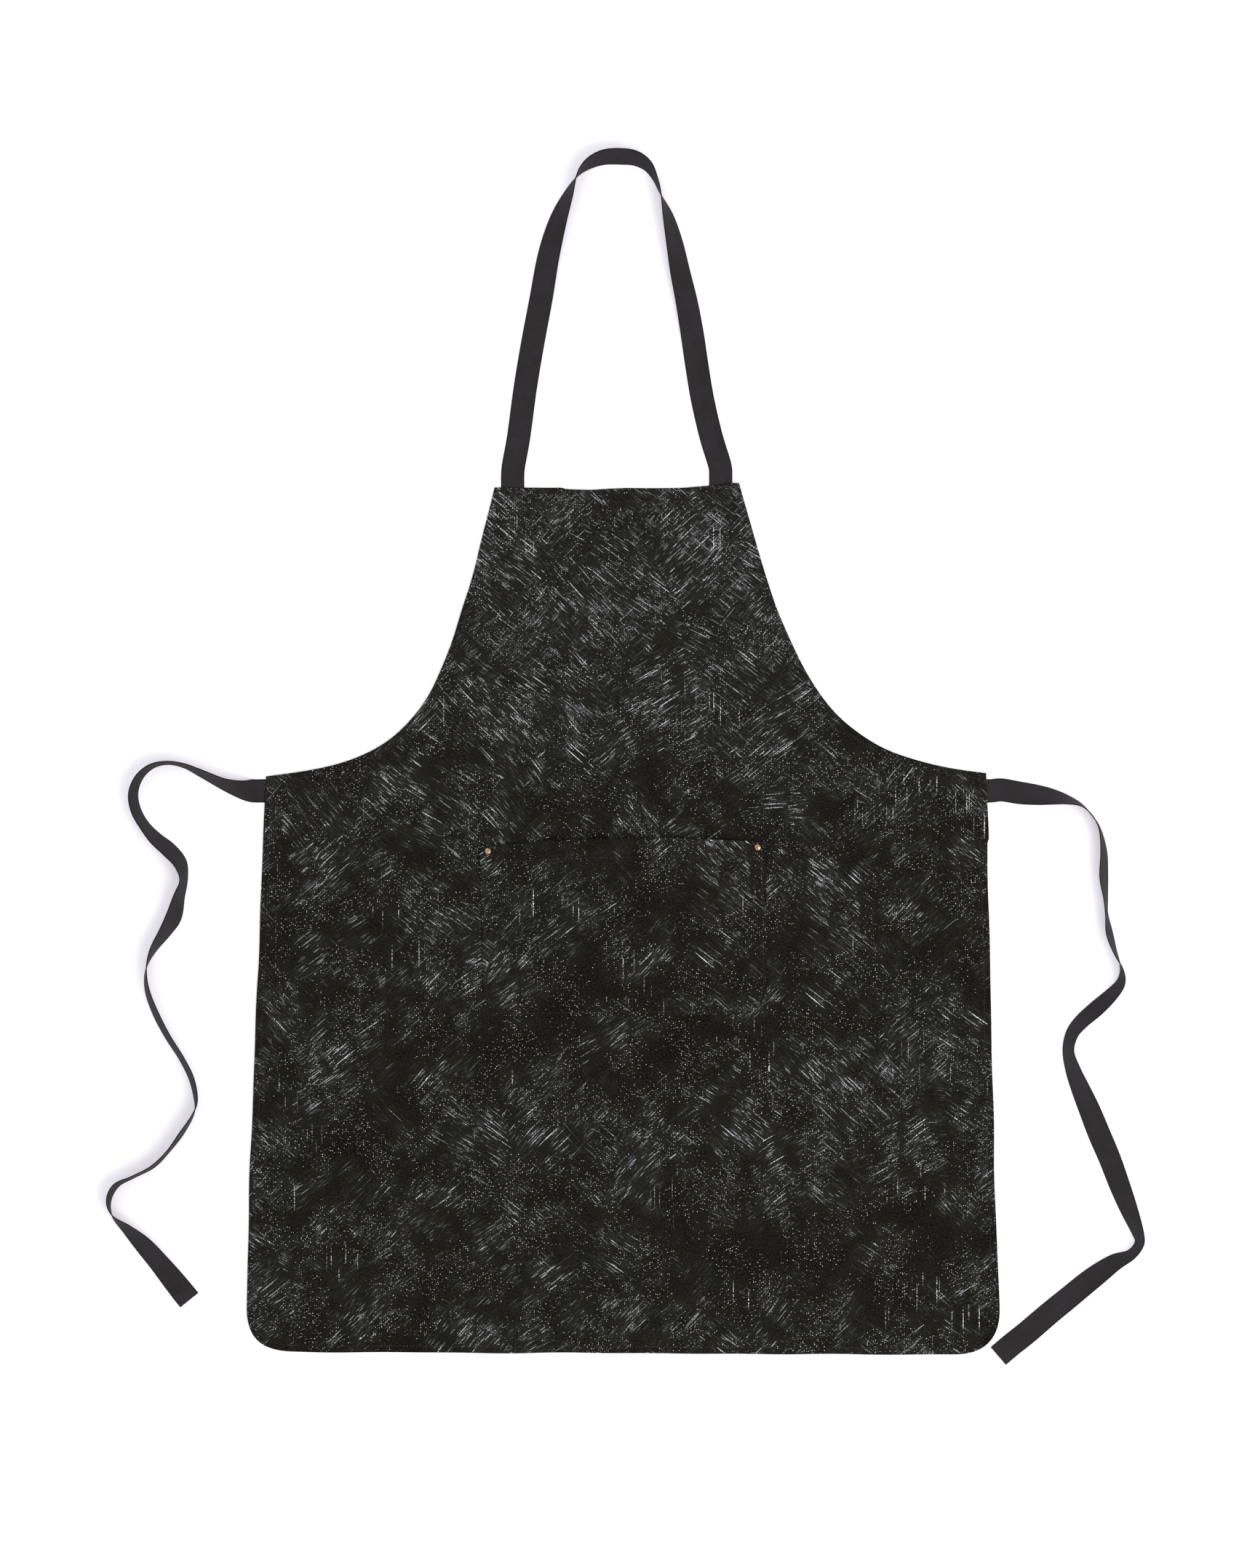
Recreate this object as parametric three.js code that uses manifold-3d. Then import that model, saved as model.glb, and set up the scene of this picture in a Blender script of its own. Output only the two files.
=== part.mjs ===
// An artist's smock apron: bib, waist ties, neck strap and one wide riveted pocket.
// It lies flat with its front up. Millimetres: +X to the right, +Y towards the neck,
// +Z out of the front. The origin is the middle of the bib's hem, on the surface it lies on.
import * as THREE from 'three';
import { mergeVertices } from 'three/addons/utils/BufferGeometryUtils.js';
import Module from 'manifold-3d';

const wasm = await Module();
wasm.setup();

// Driving dimensions
const clearance = 0.3;             // left between two pieces that touch
const clothThickness = 0.8;        // cotton canvas
const hemThickness = 1.6;          // an edge turned twice is two more plies
const hemWidth = 10;               // sides, bottom and armholes
const bibHemWidth = 20;
const bibTopHalf = 131;            // half the bib's top edge
const bibShift = -6.5;             // the bib lies a little off the skirt's centre line
const hipHalf = 386;               // half the width where the armholes end
const skirtHalf = 405;             // half the width at the bottom
const bibHeight = 311;             // bib's top edge down to the hips
const apronHeight = 931;           // bib's top edge down to the bottom edge
const skirtCorner = 50;            // reach of the rounded bottom corners
const armholeLean = [64.6, 253.8]; // armhole's handle below the bib's corner
const armholeSweep = [158.2, 20.8]; // armhole's handle inside the hip
const tapeWidth = 25;              // cotton twill tape
const tapeThickness = 1.2;
const tailLength = 26;             // tape end sewn behind the cloth
const strapMargin = 7;             // bib's corner to the neck strap's edge
const strapHinge = 1;              // the strap folds this far outside the bib's edge
const tieDrop = 17;                // hips down to the middle of the ties
const tipFold = 15;                // stitch line of a tie's folded tip, from its end
const tipMargin = 3;               // tape's edges to the ends of that line
const pocketWidth = 306;
const pocketHeight = 184;
const pocketDrop = 385;            // bib's top edge down to the pocket's mouth
const pocketTilt = 0.8;            // degrees: the pocket is sewn on a little askew
const pocketCorner = 36;           // reach of the rounded pocket corners
const pocketHemWidth = 22;         // turned mouth of the pocket
const pocketSeam = 8;              // margin held flat by the seam
const pocketRamp = 44;             // width over which the pocket rises to its full room
const pocketRoom = 6;              // room inside the pocket
const threadWidth = 0.8;
const threadHeight = 0.4;
const edgeStitch = 7;              // stitch line of the narrow hems
const bibStitch = 17;              // stitch line of the bib's hem
const pocketStitch = 4;            // stitch line of the pocket's seam
const pocketHemStitch = 19;
const tackWidth = 18;              // box of stitches across a tape's sewn end
const tackDepth = 10;
const tackEdge = 4;                // bib's edge to the strap's box of stitches
const rivetInset = [8.5, 5.5];     // from the pocket's side and mouth
const rivetCapRadius = 3.8;
const rivetCapHeight = 1.9;
const rivetPostRadius = 1.5;
const rivetDiscRadius = 4;
const rivetDiscHeight = 1;

// The neck strap and the ties as they lie: x, y and roll in degrees, 0 flat and 90 on edge.
// The strap's points count from the middle of the bib's top edge.
const strapRoute = [
  [-105, 52, 0], [-98, 104, 0], [-90, 152, 0], [-81, 200, 6], [-73, 245, 18],
  [-63, 282, 38], [-52, 310, 62], [-42, 331, 90], [-30, 343, 110], [-14, 350, 122],
  [4, 351, 126], [20, 349, 122], [33, 341, 112], [41, 328, 100], [47, 312, 90],
  [55, 288, 62], [62, 259, 43], [68, 228, 30], [75, 196, 18], [81, 162, 6],
  [86, 128, 0], [92, 92, 0], [101, 53, 0],
];
// The ties' points count from the middle of each tie where it leaves the side seam.
const leftTieRoute = [
  [-20, 1, 34], [-40, 7, 58], [-65, 19, 70], [-83, 27, 78], [-101, 30, 82], [-118, 26, 80],
  [-131, 14, 76], [-137, -3, 72], [-134, -21, 70], [-125, -37, 69], [-113, -51, 60],
  [-99, -63, 54], [-87, -77, 60], [-83, -95, 76], [-88, -113, 66], [-94, -135, 52],
  [-103, -151, 62], [-116, -171, 79], [-123, -191, 97], [-122, -213, 107],
  [-113, -238, 111], [-100, -263, 110], [-86, -285, 109], [-75, -307, 109],
  [-70, -330, 104], [-73, -346, 90], [-85, -366, 82], [-99, -385, 85], [-116, -402, 82],
  [-137, -413, 82], [-155, -422, 78], [-163, -438, 84], [-159, -455, 100],
  [-143, -470, 124], [-126, -487, 146], [-108, -508, 157], [-90, -531, 174],
  [-78, -546, 180],
];
const rightTieRoute = [
  [20, 1, 8], [38, -2, 14], [55, -4, 28], [72, -6, 46], [88, -9, 65], [104, -15, 82],
  [116, -27, 86], [124, -42, 80], [128, -66, 68], [128, -92, 63], [130, -115, 74],
  [131, -132, 78], [134, -152, 68], [140, -172, 76], [147, -190, 90], [146, -205, 106],
  [136, -218, 118], [120, -233, 126], [104, -247, 122], [94, -260, 116], [90, -278, 113],
  [95, -298, 125], [103, -318, 138], [113, -341, 151], [124, -368, 160], [135, -394, 156],
  [146, -424, 147], [155, -448, 134], [164, -472, 116], [166, -484, 106], [157, -496, 108],
  [139, -505, 128], [115, -523, 150], [92, -542, 157], [69, -561, 161], [46, -581, 168],
  [30, -594, 176], [16, -606, 180],
];

// Places that follow from them
const bibTop = bibHemWidth / 2;
const hipY = bibTop - bibHeight;
const bottomY = bibTop - apronHeight;
const clothBottom = hemThickness + clearance;
const clothTop = clothBottom + clothThickness;
const tieY = hipY - tieDrop;
const strapX = bibTopHalf - strapMargin - tapeWidth / 2;
const mouthY = bibTop - pocketDrop;
const pocketBottom = clothTop + clearance;

// Colours and finishes
const cloth = { color: 0x24231f, roughness: 0.9, metalness: 0 };
const tape = { color: 0x2e2b2d, roughness: 0.95, metalness: 0 };
const thread = { color: 0x1b1b1a, roughness: 0.8, metalness: 0 };
const copper = { color: 0x8a6546, roughness: 0.4, metalness: 1 };

const apron = new THREE.Group();

function add(name, geometry, finish) {
  geometry.computeVertexNormals();
  const mesh = new THREE.Mesh(geometry, new THREE.MeshStandardMaterial(finish));
  mesh.name = name;
  apron.add(mesh);
}

// Booleans
function solidOf(geometry) {
  const bare = geometry.clone();
  bare.deleteAttribute('normal');
  bare.deleteAttribute('uv');
  const merged = mergeVertices(bare, 1e-4);
  return new wasm.Manifold(new wasm.Mesh({
    numProp: 3,
    vertProperties: new Float32Array(merged.attributes.position.array),
    triVerts: new Uint32Array(merged.index.array),
  }));
}

function geometryOf(solid) {
  const mesh = solid.getMesh();
  const geometry = new THREE.BufferGeometry();
  geometry.setAttribute('position', new THREE.BufferAttribute(mesh.vertProperties, 3));
  geometry.setIndex(new THREE.BufferAttribute(mesh.triVerts, 1));
  return geometry;
}

// Outlines
const point = (x, y) => new THREE.Vector2(x, y);

function armhole(side) {
  return new THREE.CubicBezierCurve(
    point(bibShift + side * bibTopHalf, bibTop),
    point(bibShift + side * (bibTopHalf + armholeLean[0]), bibTop - armholeLean[1]),
    point(side * (hipHalf - armholeSweep[0]), hipY + armholeSweep[1]),
    point(side * hipHalf, hipY),
  ).getPoints(28);
}

function sideX(y) {
  return THREE.MathUtils.mapLinear(y, hipY, bottomY, hipHalf, skirtHalf);
}

const cornerTop = bottomY + skirtCorner;

function bottomCorner(side) {
  return new THREE.QuadraticBezierCurve(
    point(side * sideX(cornerTop), cornerTop),
    point(side * skirtHalf, bottomY),
    point(side * (skirtHalf - skirtCorner), bottomY),
  ).getPoints(8);
}

const bottomEdge = [...bottomCorner(-1), ...bottomCorner(1).reverse()];
const outline = [...bottomEdge, ...armhole(1).reverse(), ...armhole(-1)];

// A path moved sideways by a distance, to the left of its direction when positive
function beside(path, distance) {
  return path.map((here, i) => {
    const before = path[Math.max(i - 1, 0)];
    const after = path[Math.min(i + 1, path.length - 1)];
    const along = after.clone().sub(before).normalize();
    return point(here.x - along.y * distance, here.y + along.x * distance);
  });
}

function lengthened(path, extra) {
  const last = path.length - 1;
  const start = path[0].clone().sub(path[1]).setLength(extra).add(path[0]);
  const end = path[last].clone().sub(path[last - 1]).setLength(extra).add(path[last]);
  return [start, ...path, end];
}

function plate(points, bottom, top) {
  const geometry = new THREE.ExtrudeGeometry(new THREE.Shape(points), {
    depth: top - bottom,
    bevelEnabled: false,
  });
  return geometry.translate(0, 0, bottom);
}

function band(path, width, bottom, top) {
  return solidOf(plate([...path, ...beside(path, width).reverse()], bottom, top));
}

function block(low, high) {
  const size = high.map((value, i) => value - low[i]);
  const middle = high.map((value, i) => (value + low[i]) / 2);
  return solidOf(new THREE.BoxGeometry(...size).translate(...middle));
}

// Long flat pieces: a box bent along a route of x, y and roll
function strip(route, width, thickness, steps, heightOf) {
  const stops = route.map(([x, y, roll = 0]) => new THREE.Vector3(x, y, roll * Math.PI / 180));
  const curve = new THREE.CatmullRomCurve3(stops, false, 'catmullrom', 0.5);
  curve.arcLengthDivisions = steps * 8;
  const geometry = new THREE.BoxGeometry(width, 1, thickness, 1, steps, 1);
  const vertices = geometry.attributes.position;
  const vertex = new THREE.Vector3();
  for (let i = 0; i < vertices.count; i += 1) {
    vertex.fromBufferAttribute(vertices, i);
    const share = vertex.y + 0.5;
    const here = curve.getPointAt(share);
    const along = curve.getTangentAt(share).setZ(0).normalize();
    const [lean, flat] = [Math.sin(here.z), Math.cos(here.z)];
    const sideways = vertex.x * flat - vertex.z * lean;
    const upwards = vertex.x * lean + vertex.z * flat;
    vertices.setXYZ(
      i,
      here.x + along.y * sideways,
      here.y - along.x * sideways,
      heightOf(here.x, here.y, here.z) + upwards,
    );
  }
  return geometry;
}

function tapeHeight(x, y, roll) {
  return (tapeWidth * Math.abs(Math.sin(roll)) + tapeThickness * Math.abs(Math.cos(roll))) / 2;
}

function stitchLine(path, steps, surfaceTop) {
  const route = path.map(({ x, y }) => [x, y]);
  const heightOf = (x, y) => surfaceTop(x, y) + clearance + threadHeight / 2;
  return strip(route, threadWidth, threadHeight, steps, heightOf);
}

function stitchBox(x, y, width, height) {
  const bottom = clothTop + clearance;
  const reach = [width / 2, height / 2];
  const inner = reach.map((value) => value - threadWidth);
  const ring = block(
    [x - reach[0], y - reach[1], bottom],
    [x + reach[0], y + reach[1], bottom + threadHeight],
  );
  return geometryOf(ring.subtract(block(
    [x - inner[0], y - inner[1], bottom - 1],
    [x + inner[0], y + inner[1], bottom + threadHeight + 1],
  )));
}

const onCloth = () => clothTop;

// Pocket: a sheet that lies flat along its seam and rises to leave room inside
function pocketRise(x, y) {
  const fromSide = pocketWidth / 2 - pocketSeam - Math.abs(x);
  const fromBottom = y + pocketHeight - pocketSeam;
  const rise = Math.min(fromSide, fromBottom) / pocketRamp;
  return pocketRoom * THREE.MathUtils.smoothstep(rise, 0, 1);
}

// The doubled mouth keeps the pocket's sheet one hem higher
const hemStart = -pocketHemWidth - clearance;
const hemSlope = 6;

function hemRise(y) {
  return (hemThickness + clearance) * THREE.MathUtils.smoothstep(y, hemStart - hemSlope, hemStart);
}

// Evenly spaced places between two ends, both included
function spaced(from, to, count) {
  return Array.from({ length: count + 1 }, (_, i) => THREE.MathUtils.lerp(from, to, i / count));
}

const pocketColumns = spaced(-pocketWidth / 2, pocketWidth / 2, 24);
const mouthRows = [-pocketHemWidth, -pocketHemWidth / 2, 0];
const lowerRows = spaced(-pocketHeight, hemStart - hemSlope, 12);

// A cloth plate whose vertices stand on the given columns and rows
function pocketSheet(rows, thickness, bottomOf) {
  const [across, along] = [pocketColumns.length - 1, rows.length - 1];
  const geometry = new THREE.BoxGeometry(across, along, thickness, across, along, 1);
  const vertices = geometry.attributes.position;
  for (let i = 0; i < vertices.count; i += 1) {
    const x = pocketColumns[Math.round(vertices.getX(i) + across / 2)];
    const y = rows[Math.round(vertices.getY(i) + along / 2)];
    vertices.setXYZ(i, x, y, vertices.getZ(i) + thickness / 2 + bottomOf(x, y));
  }
  return solidOf(geometry);
}

function pocketOutline() {
  const half = pocketWidth / 2;
  const corner = (side) => new THREE.QuadraticBezierCurve(
    point(side * half, pocketCorner - pocketHeight),
    point(side * half, -pocketHeight),
    point(side * (half - pocketCorner), -pocketHeight),
  ).getPoints(8);
  return [point(-half, 0), ...corner(-1), ...corner(1).reverse(), point(half, 0)];
}

const pocketPlace = new THREE.Matrix4()
  .makeRotationZ(pocketTilt * Math.PI / 180)
  .setPosition(0, mouthY, pocketBottom);

function inPocketPlace(geometry) {
  return geometry.applyMatrix4(pocketPlace);
}

const rivetSpots = [-1, 1].map((side) => new THREE.Vector3(
  side * (pocketWidth / 2 - rivetInset[0]),
  -rivetInset[1],
  0,
).applyMatrix4(pocketPlace));

function rivetHole(spot) {
  const hole = new THREE.CylinderGeometry(
    rivetPostRadius + clearance,
    rivetPostRadius + clearance,
    40,
    16,
  );
  return solidOf(hole.rotateX(Math.PI / 2).translate(spot.x, spot.y, 0));
}

function drilled(solid) {
  return rivetSpots.reduce((left, spot) => left.subtract(rivetHole(spot)), solid);
}

// Body of the apron
add('body_panel', geometryOf(drilled(solidOf(plate(outline, clothBottom, clothTop)))), cloth);

// Hems: the cloth's own edges, turned to the back
const whole = solidOf(plate(outline, -1, clothTop));
const bibLine = bibTop - bibHemWidth;
const wide = skirtHalf * 2;
const aboveBibLine = block([-wide, bibLine, -1], [wide, bibTop + 1, clothTop]);
const belowBibLine = block([-wide, bottomY, -1], [wide, bibLine - clearance, clothTop]);

function tapeSlot(x, y, width, height) {
  const reach = [width / 2 + clearance, height / 2 + clearance];
  return block([x - reach[0], y - reach[1], -1], [x + reach[0], y + reach[1], clothTop]);
}

// The bib's hem is cut away where the neck strap's ends are sewn in
const slots = [-1, 1].map((side) => tapeSlot(
  bibShift + side * strapX,
  bibTop - tailLength / 2,
  tapeWidth,
  tailLength + bibHemWidth,
));
const bibHems = slots.reduce(
  (left, slot) => left.subtract(slot),
  solidOf(plate(outline, 0, hemThickness)).intersect(aboveBibLine),
).decompose();
bibHems.sort((a, b) => a.boundingBox().min[0] - b.boundingBox().min[0]);
['left_bib_hem', 'middle_bib_hem', 'right_bib_hem'].forEach((name, i) => {
  add(name, geometryOf(bibHems[i]), cloth);
});

const skirtEdge = [point(-hipHalf, hipY), ...bottomEdge, point(hipHalf, hipY)];
const skirtBand = band(skirtEdge, hemWidth, 0, hemThickness);
for (const [name, side] of [['left', -1], ['right', 1]]) {
  const edge = lengthened(armhole(side), hemWidth);
  const armholeBand = (width, bottom, top) => band(edge, -side * width, bottom, top);
  const tieSlot = tapeSlot(side * (hipHalf - tailLength / 2), tieY, tailLength + 12, tapeWidth);
  const turned = armholeBand(hemWidth, 0, hemThickness)
    .intersect(whole)
    .intersect(belowBibLine)
    .subtract(tieSlot);
  add(`${name}_armhole_hem`, geometryOf(turned), cloth);
  const stitched = beside(armhole(side), -side * edgeStitch).slice(1, -1);
  add(`${name}_armhole_stitching`, stitchLine(stitched, 26, onCloth), thread);

  const inward = side * wide;
  const sideStrip = block(
    [Math.min(0, inward), cornerTop + clearance, -1],
    [Math.max(0, inward), tieY - tapeWidth / 2 - clearance, clothTop],
  );
  add(`${name}_side_hem`, geometryOf(skirtBand.intersect(sideStrip)), cloth);
}

const bottomStrip = block([-wide, bottomY - 1, -1], [wide, cornerTop, clothTop]);
add('bottom_hem', geometryOf(skirtBand.intersect(bottomStrip)), cloth);

const skirtStitch = beside(skirtEdge, edgeStitch);
skirtStitch[0].y -= edgeStitch * 2;
skirtStitch[skirtStitch.length - 1].y -= edgeStitch * 2;
add('skirt_stitching', stitchLine(skirtStitch, 60, onCloth), thread);

const bibStitchHalf = bibTopHalf - edgeStitch * 2;
add('bib_stitching', stitchLine([
  point(bibShift - bibStitchHalf, bibTop - bibStitch),
  point(bibShift + bibStitchHalf, bibTop - bibStitch),
], 2, onCloth), thread);

// Pocket
const sheet = pocketSheet(
  [...lowerRows, hemStart, -pocketHemWidth / 2, 0],
  clothThickness,
  (x, y) => pocketRise(x, y) + hemRise(y),
).intersect(solidOf(plate(pocketOutline(), -1, pocketRoom * 3)));
const mouthHem = pocketSheet(mouthRows, hemThickness, pocketRise);
for (const [name, solid] of [['pocket_panel', sheet], ['pocket_hem', mouthHem]]) {
  add(name, geometryOf(drilled(solidOf(inPocketPlace(geometryOf(solid))))), cloth);
}

const onPocket = (x, y) => pocketRise(x, y) + hemRise(y) + clothThickness;
const pocketSeamPath = beside(pocketOutline(), pocketStitch);
pocketSeamPath[0].y = -rivetInset[1] * 2.4;
pocketSeamPath[pocketSeamPath.length - 1].y = pocketSeamPath[0].y;
const seamStops = new THREE.Path(pocketSeamPath).getSpacedPoints(80);
add('pocket_stitching', inPocketPlace(stitchLine(seamStops, 120, onPocket)), thread);

const mouthStitchHalf = pocketWidth / 2 - pocketSeam;
const mouthStitch = new THREE.LineCurve(
  point(-mouthStitchHalf, -pocketHemStitch),
  point(mouthStitchHalf, -pocketHemStitch),
).getPoints(30);
add('pocket_mouth_stitching', inPocketPlace(stitchLine(mouthStitch, 60, onPocket)), thread);

// Rivets: a domed cap in front, a disc with its post behind
const seatTop = pocketBottom + hemRise(0) + clothThickness;
rivetSpots.forEach((spot, i) => {
  const name = ['left', 'right'][i];
  const capBottom = seatTop + clearance;
  const dome = [point(0, 0), point(rivetCapRadius - 0.4, 0), point(rivetCapRadius, 0.4)];
  for (let step = 1; step <= 6; step += 1) {
    const angle = step / 6 * Math.PI / 2;
    dome.push(point(
      rivetCapRadius * Math.cos(angle),
      0.4 + (rivetCapHeight - 0.4) * Math.sin(angle),
    ));
  }
  dome[dome.length - 1].x = 0;
  const cap = new THREE.LatheGeometry(dome, 24).rotateX(Math.PI / 2);
  add(`${name}_rivet_cap`, cap.translate(spot.x, spot.y, capBottom), copper);

  const discTop = clothBottom - clearance;
  const back = new THREE.LatheGeometry([
    point(0, discTop - rivetDiscHeight),
    point(rivetDiscRadius, discTop - rivetDiscHeight),
    point(rivetDiscRadius, discTop),
    point(rivetPostRadius, discTop),
    point(rivetPostRadius, seatTop),
    point(0, seatTop),
  ], 24).rotateX(Math.PI / 2);
  add(`${name}_rivet_back`, back.translate(spot.x, spot.y, 0), copper);
});

// Neck strap: a loop of tape, its two ends sewn behind the bib
const strapStart = strapHinge + clearance;
const strapEnd = (side) => [
  [side * strapX, strapStart, 0],
  [side * strapX, strapStart + 8, 0],
  [side * (strapX - 1), strapStart + 20, 0],
];
const strapStops = [...strapEnd(-1), ...strapRoute, ...strapEnd(1).reverse()]
  .map(([x, y, roll]) => [x + bibShift, y + bibTop, roll]);
add('neck_strap', strip(strapStops, tapeWidth, tapeThickness, 90, tapeHeight), tape);
for (const [name, side] of [['left', -1], ['right', 1]]) {
  const x = bibShift + side * strapX;
  const tail = new THREE.BoxGeometry(tapeWidth, tailLength + strapHinge, tapeThickness);
  const tailY = bibTop + (strapHinge - tailLength) / 2;
  add(`${name}_strap_end`, tail.translate(x, tailY, tapeThickness / 2), tape);
  const tackY = bibTop - tackEdge - tackDepth / 2;
  add(`${name}_strap_tack`, stitchBox(x, tackY, tackWidth, tackDepth), thread);
}

// Waist ties: one end of each sewn behind the side, the rest lying loose
for (const [name, side, route] of [['left', -1, leftTieRoute], ['right', 1, rightTieRoute]]) {
  const rootX = side * sideX(tieY);
  const tail = [-tailLength, -tailLength / 2, 0, 8].map((x) => [side * x, 0, 0]);
  const stops = [...tail, ...route].map(([x, y, roll]) => [x + rootX, y + tieY, roll]);
  add(`${name}_tie`, strip(stops, tapeWidth, tapeThickness, 84, tapeHeight), tape);
  const tackX = rootX - side * (edgeStitch * 2 + tackDepth / 2);
  add(`${name}_tie_tack`, stitchBox(tackX, tieY, tackDepth, tackWidth), thread);

  const [before, end] = route.slice(-2);
  const lastLeg = point(before[0] - end[0], before[1] - end[1]);
  const roll = THREE.MathUtils.lerp(end[2], before[2], tipFold / lastLeg.length());
  const tipTop = tapeThickness + tapeWidth * Math.sin(roll * Math.PI / 180);
  lastLeg.normalize();
  const middle = point(end[0] + rootX, end[1] + tieY).addScaledVector(lastLeg, tipFold);
  const across = point(-lastLeg.y, lastLeg.x).multiplyScalar(tapeWidth / 2 - tipMargin);
  const ends = [middle.clone().add(across), middle.clone().sub(across)];
  add(`${name}_tip_stitching`, stitchLine(ends, 1, () => tipTop), thread);
}

export default apron;
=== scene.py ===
import math

import bmesh
import bpy
import numpy as np
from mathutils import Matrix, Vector
from mathutils.geometry import delaunay_2d_cdt


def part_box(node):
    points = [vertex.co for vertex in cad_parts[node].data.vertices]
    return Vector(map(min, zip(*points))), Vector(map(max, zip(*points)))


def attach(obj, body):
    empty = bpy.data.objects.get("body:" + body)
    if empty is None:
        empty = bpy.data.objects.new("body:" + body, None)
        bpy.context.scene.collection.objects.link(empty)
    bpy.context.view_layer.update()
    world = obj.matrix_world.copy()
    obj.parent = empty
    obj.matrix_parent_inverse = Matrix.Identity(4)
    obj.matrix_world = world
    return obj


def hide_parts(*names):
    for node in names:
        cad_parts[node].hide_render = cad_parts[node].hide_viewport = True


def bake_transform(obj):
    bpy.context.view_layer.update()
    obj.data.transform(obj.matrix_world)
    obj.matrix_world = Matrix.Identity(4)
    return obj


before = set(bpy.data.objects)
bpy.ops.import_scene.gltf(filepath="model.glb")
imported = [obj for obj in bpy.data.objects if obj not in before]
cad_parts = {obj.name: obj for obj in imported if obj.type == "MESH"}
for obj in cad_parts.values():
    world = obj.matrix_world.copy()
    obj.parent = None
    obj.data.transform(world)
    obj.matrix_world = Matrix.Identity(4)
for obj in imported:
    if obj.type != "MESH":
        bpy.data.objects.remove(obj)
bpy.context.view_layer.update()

mm = 0.001
scene = bpy.context.scene


# Camera, floor and light. The camera looks straight down on the laid-out apron.
viewSettings = {
    "lens": 100,
    "film": 36,
    "longSide": 1.6817,          # metres of floor along the frame's long side
    "middle": (0.0051, -0.3106),
    "floorSize": 60.0,           # wide enough that its far edge is out of the way in a low view
    "floorDrop": 0.2 * mm,       # keeps the floor from touching the cloth's underside
    "floorColour": "#f4f4f6",
    "glow": 0.24,                # the backdrop is lit from below as well, which thins the shadows
    "glowColour": "#fff6fb",
    "keyPlace": (1.5, -1.6, 2.6),
    "keySize": 2.4,
    "keyPower": 62,
    "fillPlace": (-1.2, 0.9, 2.8),
    "fillSize": 3.4,
    "fillPower": 26,
    "skyColour": "#f1f2fa",
    "skyStrength": 0.74,
}


def linear(hexCode):
    parts = [int(hexCode[i:i + 2], 16) / 255 for i in (1, 3, 5)]
    return tuple(c / 12.92 if c <= 0.04045 else ((c + 0.055) / 1.055) ** 2.4 for c in parts) + (1.0,)


def addNode(tree, kind, inputs=None, **settings):
    # An input takes a value, a socket, or a node when its first output is meant
    node = tree.nodes.new(kind)
    for key, value in settings.items():
        setattr(node, key, value)
    for key, value in (inputs or {}).items():
        if isinstance(value, bpy.types.Node):
            value = value.outputs[0]
        if isinstance(value, bpy.types.NodeSocket):
            tree.links.new(value, node.inputs[key])
        else:
            node.inputs[key].default_value = value
    return node


def newMaterial(name):
    material = bpy.data.materials.new(name)
    material.use_nodes = True
    material.node_tree.nodes.clear()
    return material, material.node_tree


def blotches(tree, vector, size, low, high, detail=1, toLow=0.0, toHigh=1.0, flat=True, **more):
    # Soft patches of a given size, stretched from low and high to a share
    field = addNode(tree, "ShaderNodeTexNoise", {
        "Vector": vector, "Scale": 1 / size, "Detail": detail, **more,
    }, noise_dimensions="2D" if flat else "3D")
    return addNode(tree, "ShaderNodeMapRange", {
        "Value": field, "From Min": low, "From Max": high, "To Min": toLow, "To Max": toHigh,
    })


def finishCloth(tree, colour, height, strength, depth, rough, specular, **more):
    # The end that every woven and spun material shares: threads in relief under a matt face
    bump = addNode(tree, "ShaderNodeBump", {"Height": height, "Strength": strength, "Distance": depth})
    shader = addNode(tree, "ShaderNodeBsdfPrincipled", {
        "Base Color": colour, "Roughness": rough, "Specular IOR Level": specular, "Normal": bump,
        **more,
    })
    addNode(tree, "ShaderNodeOutputMaterial", {"Surface": shader})


def addArea(name, place, size, power):
    data = bpy.data.lights.new(name, "AREA")
    data.shape = "SQUARE"
    data.size = size
    data.energy = power
    lamp = bpy.data.objects.new(name, data)
    lamp.location = place
    aim = np.array([*viewSettings["middle"], 0.0]) - np.array(place)
    lamp.rotation_mode = "QUATERNION"
    lamp.rotation_quaternion = Vector(aim).to_track_quat("-Z", "Y")
    scene.collection.objects.link(lamp)


def makeStudio():
    data = bpy.data.cameras.new("camera")
    data.lens = viewSettings["lens"]
    data.sensor_width = viewSettings["film"]
    camera = bpy.data.objects.new("camera", data)
    height = viewSettings["longSide"] * viewSettings["lens"] / viewSettings["film"]
    camera.location = (*viewSettings["middle"], height)
    scene.collection.objects.link(camera)
    scene.camera = camera
    scene.view_settings.view_transform = "Standard"

    half = viewSettings["floorSize"] / 2
    corners = [(-half, -half), (half, -half), (half, half), (-half, half)]
    mesh = bpy.data.meshes.new("floor")
    mesh.from_pydata([(x, y, -viewSettings["floorDrop"]) for x, y in corners], [], [(0, 1, 2, 3)])
    floor = bpy.data.objects.new("floor", mesh)
    scene.collection.objects.link(floor)
    material, tree = newMaterial("paperBackdrop")
    shader = addNode(tree, "ShaderNodeBsdfPrincipled", {
        "Base Color": linear(viewSettings["floorColour"]),
        "Roughness": 0.9,
        "Specular IOR Level": 0.1,
        "Emission Color": linear(viewSettings["glowColour"]),
        "Emission Strength": viewSettings["glow"],
    })
    addNode(tree, "ShaderNodeOutputMaterial", {"Surface": shader})
    mesh.materials.append(material)

    for name in ("key", "fill"):
        place, size, power = (viewSettings[name + part] for part in ("Place", "Size", "Power"))
        addArea(name + "Light", place, size, power)
    world = bpy.data.worlds.new("studio")
    world.use_nodes = True
    sky = world.node_tree.nodes["Background"]
    sky.inputs["Color"].default_value = linear(viewSettings["skyColour"])
    sky.inputs["Strength"].default_value = viewSettings["skyStrength"]
    scene.world = world


makeStudio()
print("camera, floor and lights are in place")


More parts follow.
